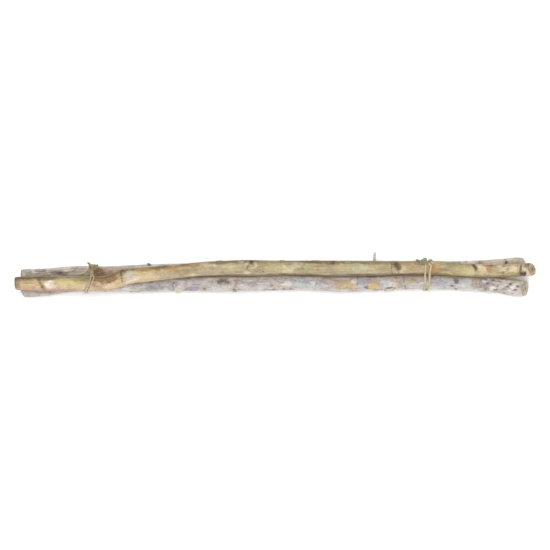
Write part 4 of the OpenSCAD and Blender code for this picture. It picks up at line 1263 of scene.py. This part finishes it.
# x from and to, angle from and to, thickness, lift of the far edge, colour on top, and colour underneath:
# darker inner bark, partly painted shade beneath the curl
FLAKES = {
    "front": [
        (-260, -238, 70, 118, 1.0, 1.2, (156, 128, 92), (120, 94, 64)),
        (-234, -212, 30, 66, 0.9, 0.9, (182, 158, 116), (128, 98, 66)),
        (338, 360, 66, 120, 0.8, 0.5, (218, 202, 166), (150, 116, 78)),
    ],
    "back": [
        (-372, -346, 40, 76, 0.8, 0.6, (176, 168, 156), (112, 94, 76)),
        (352, 376, 92, 140, 0.8, 0.6, (196, 180, 148), (124, 98, 70)),
    ],
    "lower": [
        (166, 183, 156, 214, 0.8, 1.8, (224, 212, 186), (104, 94, 82)),
        (10, 26, 150, 184, 0.7, 0.7, (206, 196, 188), (128, 106, 100)),
        (-226, -204, 170, 206, 0.7, 0.8, (196, 194, 182), (136, 124, 118)),
        (336, 354, 140, 182, 0.8, 0.9, (204, 192, 184), (128, 106, 98)),
    ],
}
for stick, material in ((front, FRONT_BARK), (back, BACK_BARK), (lower, LOWER_BARK)):
    name = stick.name
    body = name + "_stick"
    finish_piece(stick.bark(material), body, name + "_bark")
    finish_piece(stick.wood(END_GRAIN), body, name + "_wood")
    finish_piece(stick.pith(PITH), body, name + "_pith")
    twigs = Parts()
    for k, stub in enumerate(STUBS[name]):
        add_stub(twigs, stick, 10 * stick.seed + k, *stub)
    finish_piece(twigs.build(name + "_side_twigs", DRY_TWIG), body, name + "_stubs")
    scales = Parts()
    for k, flake in enumerate(FLAKES[name]):
        add_flake(scales, stick, 10 * stick.seed + k, *flake)
    finish_piece(scales.build(name + "_loose_scales", DRY_TWIG), body, name + "_flakes")

# ---------------------------------------------------------------- twine

# each of the three strands: its radius, how far its middle is from the twine's, and the length of its turn
PLY_RADIUS = 0.70
PLY_OFFSET = 0.76
PLY_PITCH = 8.5


def round_all(x, degrees, offset):
    """Point on a taut loop round all three sticks at x, in a direction round the bundle."""
    u = np.array([math.cos(math.radians(degrees)), math.sin(math.radians(degrees))])
    best = None
    for name in ("front", "back", "lower"):
        y, z, r = curve_at(name, x)
        reach = y * u[0] + z * u[1] + r
        if best is None or reach > best[0] + 1e-9:
            best = (reach, y, z, r)
    return np.array([best[1], best[2]]) + (best[3] + offset) * u


def turns_x(tie, t):
    """Place along X of the middle of a tie's turns, in direction t round the bundle."""
    x, direction, lean = TIES[tie][:3]
    return x + lean * math.cos(math.radians(t - direction))


def wrap_path(tie):
    """Two turns round the bundle, closer together opposite the knot than beside it."""
    direction, pitch = TIES[tie][1], TIES[tie][3]
    points = []
    for d in np.arange(0, 720.1, 2.0):
        whole, part = divmod(d, 360.0)
        # the step from the first turn to the second is spread over 40 degrees beside the knot
        early = part / 40 - 0.5 if whole > 0 and part < 20 else 0.0
        late = (part - 360) / 40 + 0.5 if whole < 1 and part > 340 else 0.0
        spread = LOW_PITCH + (pitch - LOW_PITCH) * (1 + math.cos(math.radians(d))) / 2
        x = turns_x(tie, direction + d)
        y, z = round_all(x, direction + d, TWINE_RADIUS + RUNNING_GAP)
        points.append((x + (whole - 0.5 + early + late) * spread, y, z))
    return np.array(points)


def outwards(tie):
    """The direction from the bundle to a tie's knot."""
    t = math.radians(TIES[tie][1])
    return np.array([0, math.cos(t), math.sin(t)])


def knot_point(tie, u, v, w):
    """A point beside the knot: u along the bundle, v round it, w outwards from the turns."""
    direction, along, round_by = TIES[tie][1], TIES[tie][4], TIES[tie][5]
    x = turns_x(tie, direction) + along
    base = round_all(x, direction, RUNNING_GAP + 2 * TWINE_RADIUS + 0.25)
    t = math.radians(direction)
    side = np.array([0, -math.sin(t), math.cos(t)])
    return np.array([x + u, base[0], base[1]]) + (v + round_by) * side + w * outwards(tie)


def knot_path(tie):
    """A closed overhand knot that is pulled flat: a trefoil that swings in and out by about half."""
    half = 1.56 * KNOT_RADIUS
    points = []
    # 5.4 and 5.2 are roughly the plain curve's own length and width
    for t in np.radians(np.arange(0, 360, 2.0)):
        wave = math.sin(3 * t)
        points.append(knot_point(
            tie,
            (math.sin(t) + 2 * math.sin(2 * t)) * (KNOT_LENGTH - 2 * KNOT_RADIUS) / 5.4,
            (math.cos(t) - 2 * math.cos(2 * t)) * (KNOT_WIDTH - 2 * KNOT_RADIUS) / 5.2,
            half + KNOT_RADIUS - wave * (1.4 - 0.4 * wave * wave) * half,
        ))
    return np.array(points)


def tail_path(tie, u0, v0, u1, v1, rise):
    """A cut end that leaves the knot at u0 and v0 and rises. It starts a little inside the knot's loop."""
    points = []
    for t in np.linspace(-0.35, 1, 40):
        points.append(knot_point(
            tie,
            u0 + (u1 - u0) * t,
            v0 + (v1 - v0) * t * abs(t),
            TWINE_RADIUS + rise * max(t, 0) * (2 - t) + 1.2 * math.sin(math.pi * max(t, 0)) - min(t, 0) * 3,
        ))
    return np.array(points)


def lying_path(x0, x1, a0, a1, h0, h1):
    """A cut end that lies along the back stick while it goes round it from a0 to a1."""
    t = np.linspace(-0.25, 1, 60)
    turn = t * (2 - t)
    return skin(back, x0 + (x1 - x0) * t, a0 + (a1 - a0) * turn, h1 + (h0 - h1) * (1 - t) ** 2)


def resample(path, step, closed=False):
    """Even points along a path, how far along it each one is, and the path's length."""
    if closed:
        path = np.concatenate([path, path[:1]])
    gone = np.concatenate([[0], np.cumsum(np.linalg.norm(np.diff(path, axis=0), axis=1))])
    count = max(int(gone[-1] / step), 8)
    s = np.linspace(0, gone[-1], count + 1)
    if closed:
        s = s[:-1]
    return np.stack([np.interp(s, gone, path[:, k]) for k in range(3)], axis=-1), s, gone[-1]


def yarn(parts, path, seed, hint, colour, closed=False, frayed=False, size=1.0, near_low_colour=None):
    """Three twisted strands along a path, with loose fibres.

    The path never follows hint. The last argument is the colour that the twine turns to low on the near side;
    the left tie's is paler there as painted light.
    """
    rng = np.random.default_rng(seed)
    path, s, length = resample(path, 0.5, closed)
    turns = length / PLY_PITCH
    along = np.gradient(path, axis=0)
    if closed:
        turns = round(turns)
        along = np.roll(path, -1, 0) - np.roll(path, 1, 0)
    along /= np.linalg.norm(along, axis=1)[:, None]
    hint = np.asarray(hint, float)
    u = np.cross(along, np.cross(hint, along))
    u /= np.linalg.norm(u, axis=1)[:, None]
    v = np.cross(along, u)
    sides = 12
    j = np.linspace(0, 2 * math.pi, sides, endpoint=False)
    for ply in range(3):
        phase = 2 * math.pi * (s / length * turns + ply / 3)
        loosen = np.zeros_like(s)
        if frayed:
            loosen = smooth(length - 5.0, length, s)
        offset = PLY_OFFSET * size * (1 + 0.5 * loosen)
        core = path + (offset * np.cos(phase))[:, None] * u + (offset * np.sin(phase))[:, None] * v
        spot = np.stack([s * 0.5, np.full_like(s, seed + ply * 3.0), np.zeros_like(s)], axis=-1)
        thick = PLY_RADIUS * size * (1 + 0.10 * fbm(spot, 1.0, 2, seed + ply)) * (1 - 0.45 * loosen)
        # each strand is itself twisted the other way from many fibres
        lobes = np.cos(5 * (j[None, :] + 1.3 * phase[:, None])) * 0.05
        r = thick[:, None] * (1 + lobes)
        across, up = (r * np.cos(j))[..., None], (r * np.sin(j))[..., None]
        ring = core[:, None] + across * u[:, None] + up * v[:, None]
        grain = fbm(ring + seed, 0.8, 2, seed + 40)
        outward = np.einsum("nmk,nk->nm", ring - path[:, None], core - path)
        # painted shade in the grooves between the strands
        deep = smooth(0.9, -0.1, outward)
        # towards the bottom of the picture the twine turns to its colour for low on the near side: painted
        # light on the left tie
        low = smooth(2, -24, ring[..., 1] * 0.97 + ring[..., 2] * 0.26)
        tone_and_painted_light = mix(lin(*colour), lin(*(near_low_colour or colour)), low)
        tint = mix(tone_and_painted_light * 1.12, tone_and_painted_light * 0.80, np.clip(0.5 + grain, 0, 1))
        tint = mix(tint, tone_and_painted_light * 0.45, deep * 0.5)
        if closed:
            parts.add(ring, grid_quads(*ring.shape[:2], wrap_rows=True), [], tint)
        else:
            parts.tube(ring, tint)
    # loose fibres
    for _ in range(int(length * 0.9)):
        i = int(rng.integers(2, len(path) - 2))
        turn = rng.uniform(0, 2 * math.pi)
        out = u[i] * math.cos(turn) + v[i] * math.sin(turn)
        lean = along[i] * rng.choice([-1.0, 1.0])
        long = rng.uniform(0.8, 2.4)
        t = np.linspace(0, 1, 6)[:, None]
        rise = 1.25 * size + 0.5 * long * t * (0.3 + 0.3 * t)
        hair = path[i] + out * rise + lean * long * t * (1 - 0.3 * t)
        add_hair(parts, hair, rng.uniform(0.045, 0.08), lin(*colour) * rng.uniform(0.9, 1.25))
    if frayed:
        for _ in range(34):
            turn = rng.uniform(0, 2 * math.pi)
            spread = rng.uniform(0.1, 0.9)
            out = u[-1] * math.cos(turn) + v[-1] * math.sin(turn)
            long = rng.uniform(1.0, 3.2)
            t = np.linspace(0, 1, 6)[:, None]
            start = path[-4] + out * rng.uniform(0.1, 1.2)
            hair = start + along[-1] * long * t + out * spread * t * t * long * 0.5
            add_hair(parts, hair, rng.uniform(0.06, 0.11), lin(*colour) * rng.uniform(0.9, 1.25))


def add_hair(parts, path, radius, tint):
    """One loose fibre, which thins towards its end."""
    along = path[-1] - path[0]
    hint = np.array([0.31, 0.52, 0.79])
    if abs(np.dot(along, hint)) > 0.85 * np.linalg.norm(along):
        hint = np.array([0.8, -0.5, 0.33])
    rows = sweep(path, radius * np.linspace(1, 0.35, len(path)), 4, hint)
    parts.tube(rows, tint)


TAILS = {
    "left_tie": [
        (tail_path("left_tie", -8.7, -1.5, -12.2, -5, 6.2), (134, 136, 118)),
        (lying_path(-286, -301, 80, 116, 6.4, 2.0), (244, 222, 184)),
    ],
    "right_tie": [
        (tail_path("right_tie", -8.7, -1, -12.5, -2, 1.2), (128, 126, 104)),
        (tail_path("right_tie", 8.7, -1, 11.5, -2, 0.4), (176, 166, 132)),
    ],
}
# twine beside the knot, and low on the near side, where the left tie's paler colour is painted light
TURN_COLOURS = {
    "left_tie": ((202, 178, 132), (234, 220, 196)),
    "right_tie": ((236, 216, 174), (210, 210, 172)),
}
KNOT_COLOURS = {"left_tie": (176, 162, 108), "right_tie": (178, 172, 144)}
for number, tie in enumerate(TIES):
    turns = Parts()
    near, low = TURN_COLOURS[tie]
    yarn(turns, wrap_path(tie), 910 + number, (1, 0, 0), near, near_low_colour=low)
    finish_piece(turns.build(tie + "_turns", TWINE), tie, tie + "_wraps")
    knot = Parts()
    yarn(knot, knot_path(tie), 930 + number, outwards(tie), KNOT_COLOURS[tie], closed=True, size=0.74)
    finish_piece(knot.build(tie + "_knot_loop", TWINE), tie, tie + "_knot")
    ends = Parts()
    for k, (route, colour) in enumerate(TAILS[tie]):
        yarn(ends, route, 950 + 2 * number + k, (0, 1, 0), colour, frayed=True)
    finish_piece(ends.build(tie + "_loose_ends", TWINE), tie, tie + "_tails")

# ---------------------------------------------------------------- floor and lights

FLOOR_REACH = 40000
FLOOR_Z = -0.6


def plain_material(name, colour, roughness):
    m = bpy.data.materials.new(name)
    m.use_nodes = True
    shader = m.node_tree.nodes["Principled BSDF"]
    shader.inputs["Base Color"].default_value = (*colour, 1)
    shader.inputs["Roughness"].default_value = roughness
    shader.inputs["Specular IOR Level"].default_value = 0.2
    return m


floor = new_mesh(
    "studio_floor",
    [(x * FLOOR_REACH, y * FLOOR_REACH, FLOOR_Z) for x, y in ((-1, -1), (1, -1), (1, 1), (-1, 1))],
    [(0, 1, 2, 3)],
    material=plain_material("pale_floor", (0.95, 0.95, 0.94), 0.9),
)


def area_light(name, place, size, power):
    """A round white lamp, in metres and watts, that faces the middle of the bundle."""
    data = bpy.data.lights.new(name, "AREA")
    data.shape = "DISK"
    data.size = size
    data.energy = power
    light = bpy.data.objects.new(name, data)
    light.location = place
    light.rotation_euler = (-Vector(place)).to_track_quat("-Z", "Y").to_euler()
    light.visible_camera = False
    bpy.context.scene.collection.objects.link(light)


area_light("overhead", (-0.3, -0.2, 2.6), 2.0, 44)
area_light("key", (0.5, -2.3, 2.0), 1.6, 38)
area_light("fill", (0, 2.4, 1.6), 1.6, 18)
world = bpy.data.worlds.new("studio")
world.use_nodes = True
world.node_tree.nodes["Background"].inputs["Color"].default_value = (1.0, 1.0, 1.0, 1)
world.node_tree.nodes["Background"].inputs["Strength"].default_value = 0.60
bpy.context.scene.world = world
bpy.context.scene.view_settings.view_transform = "Standard"
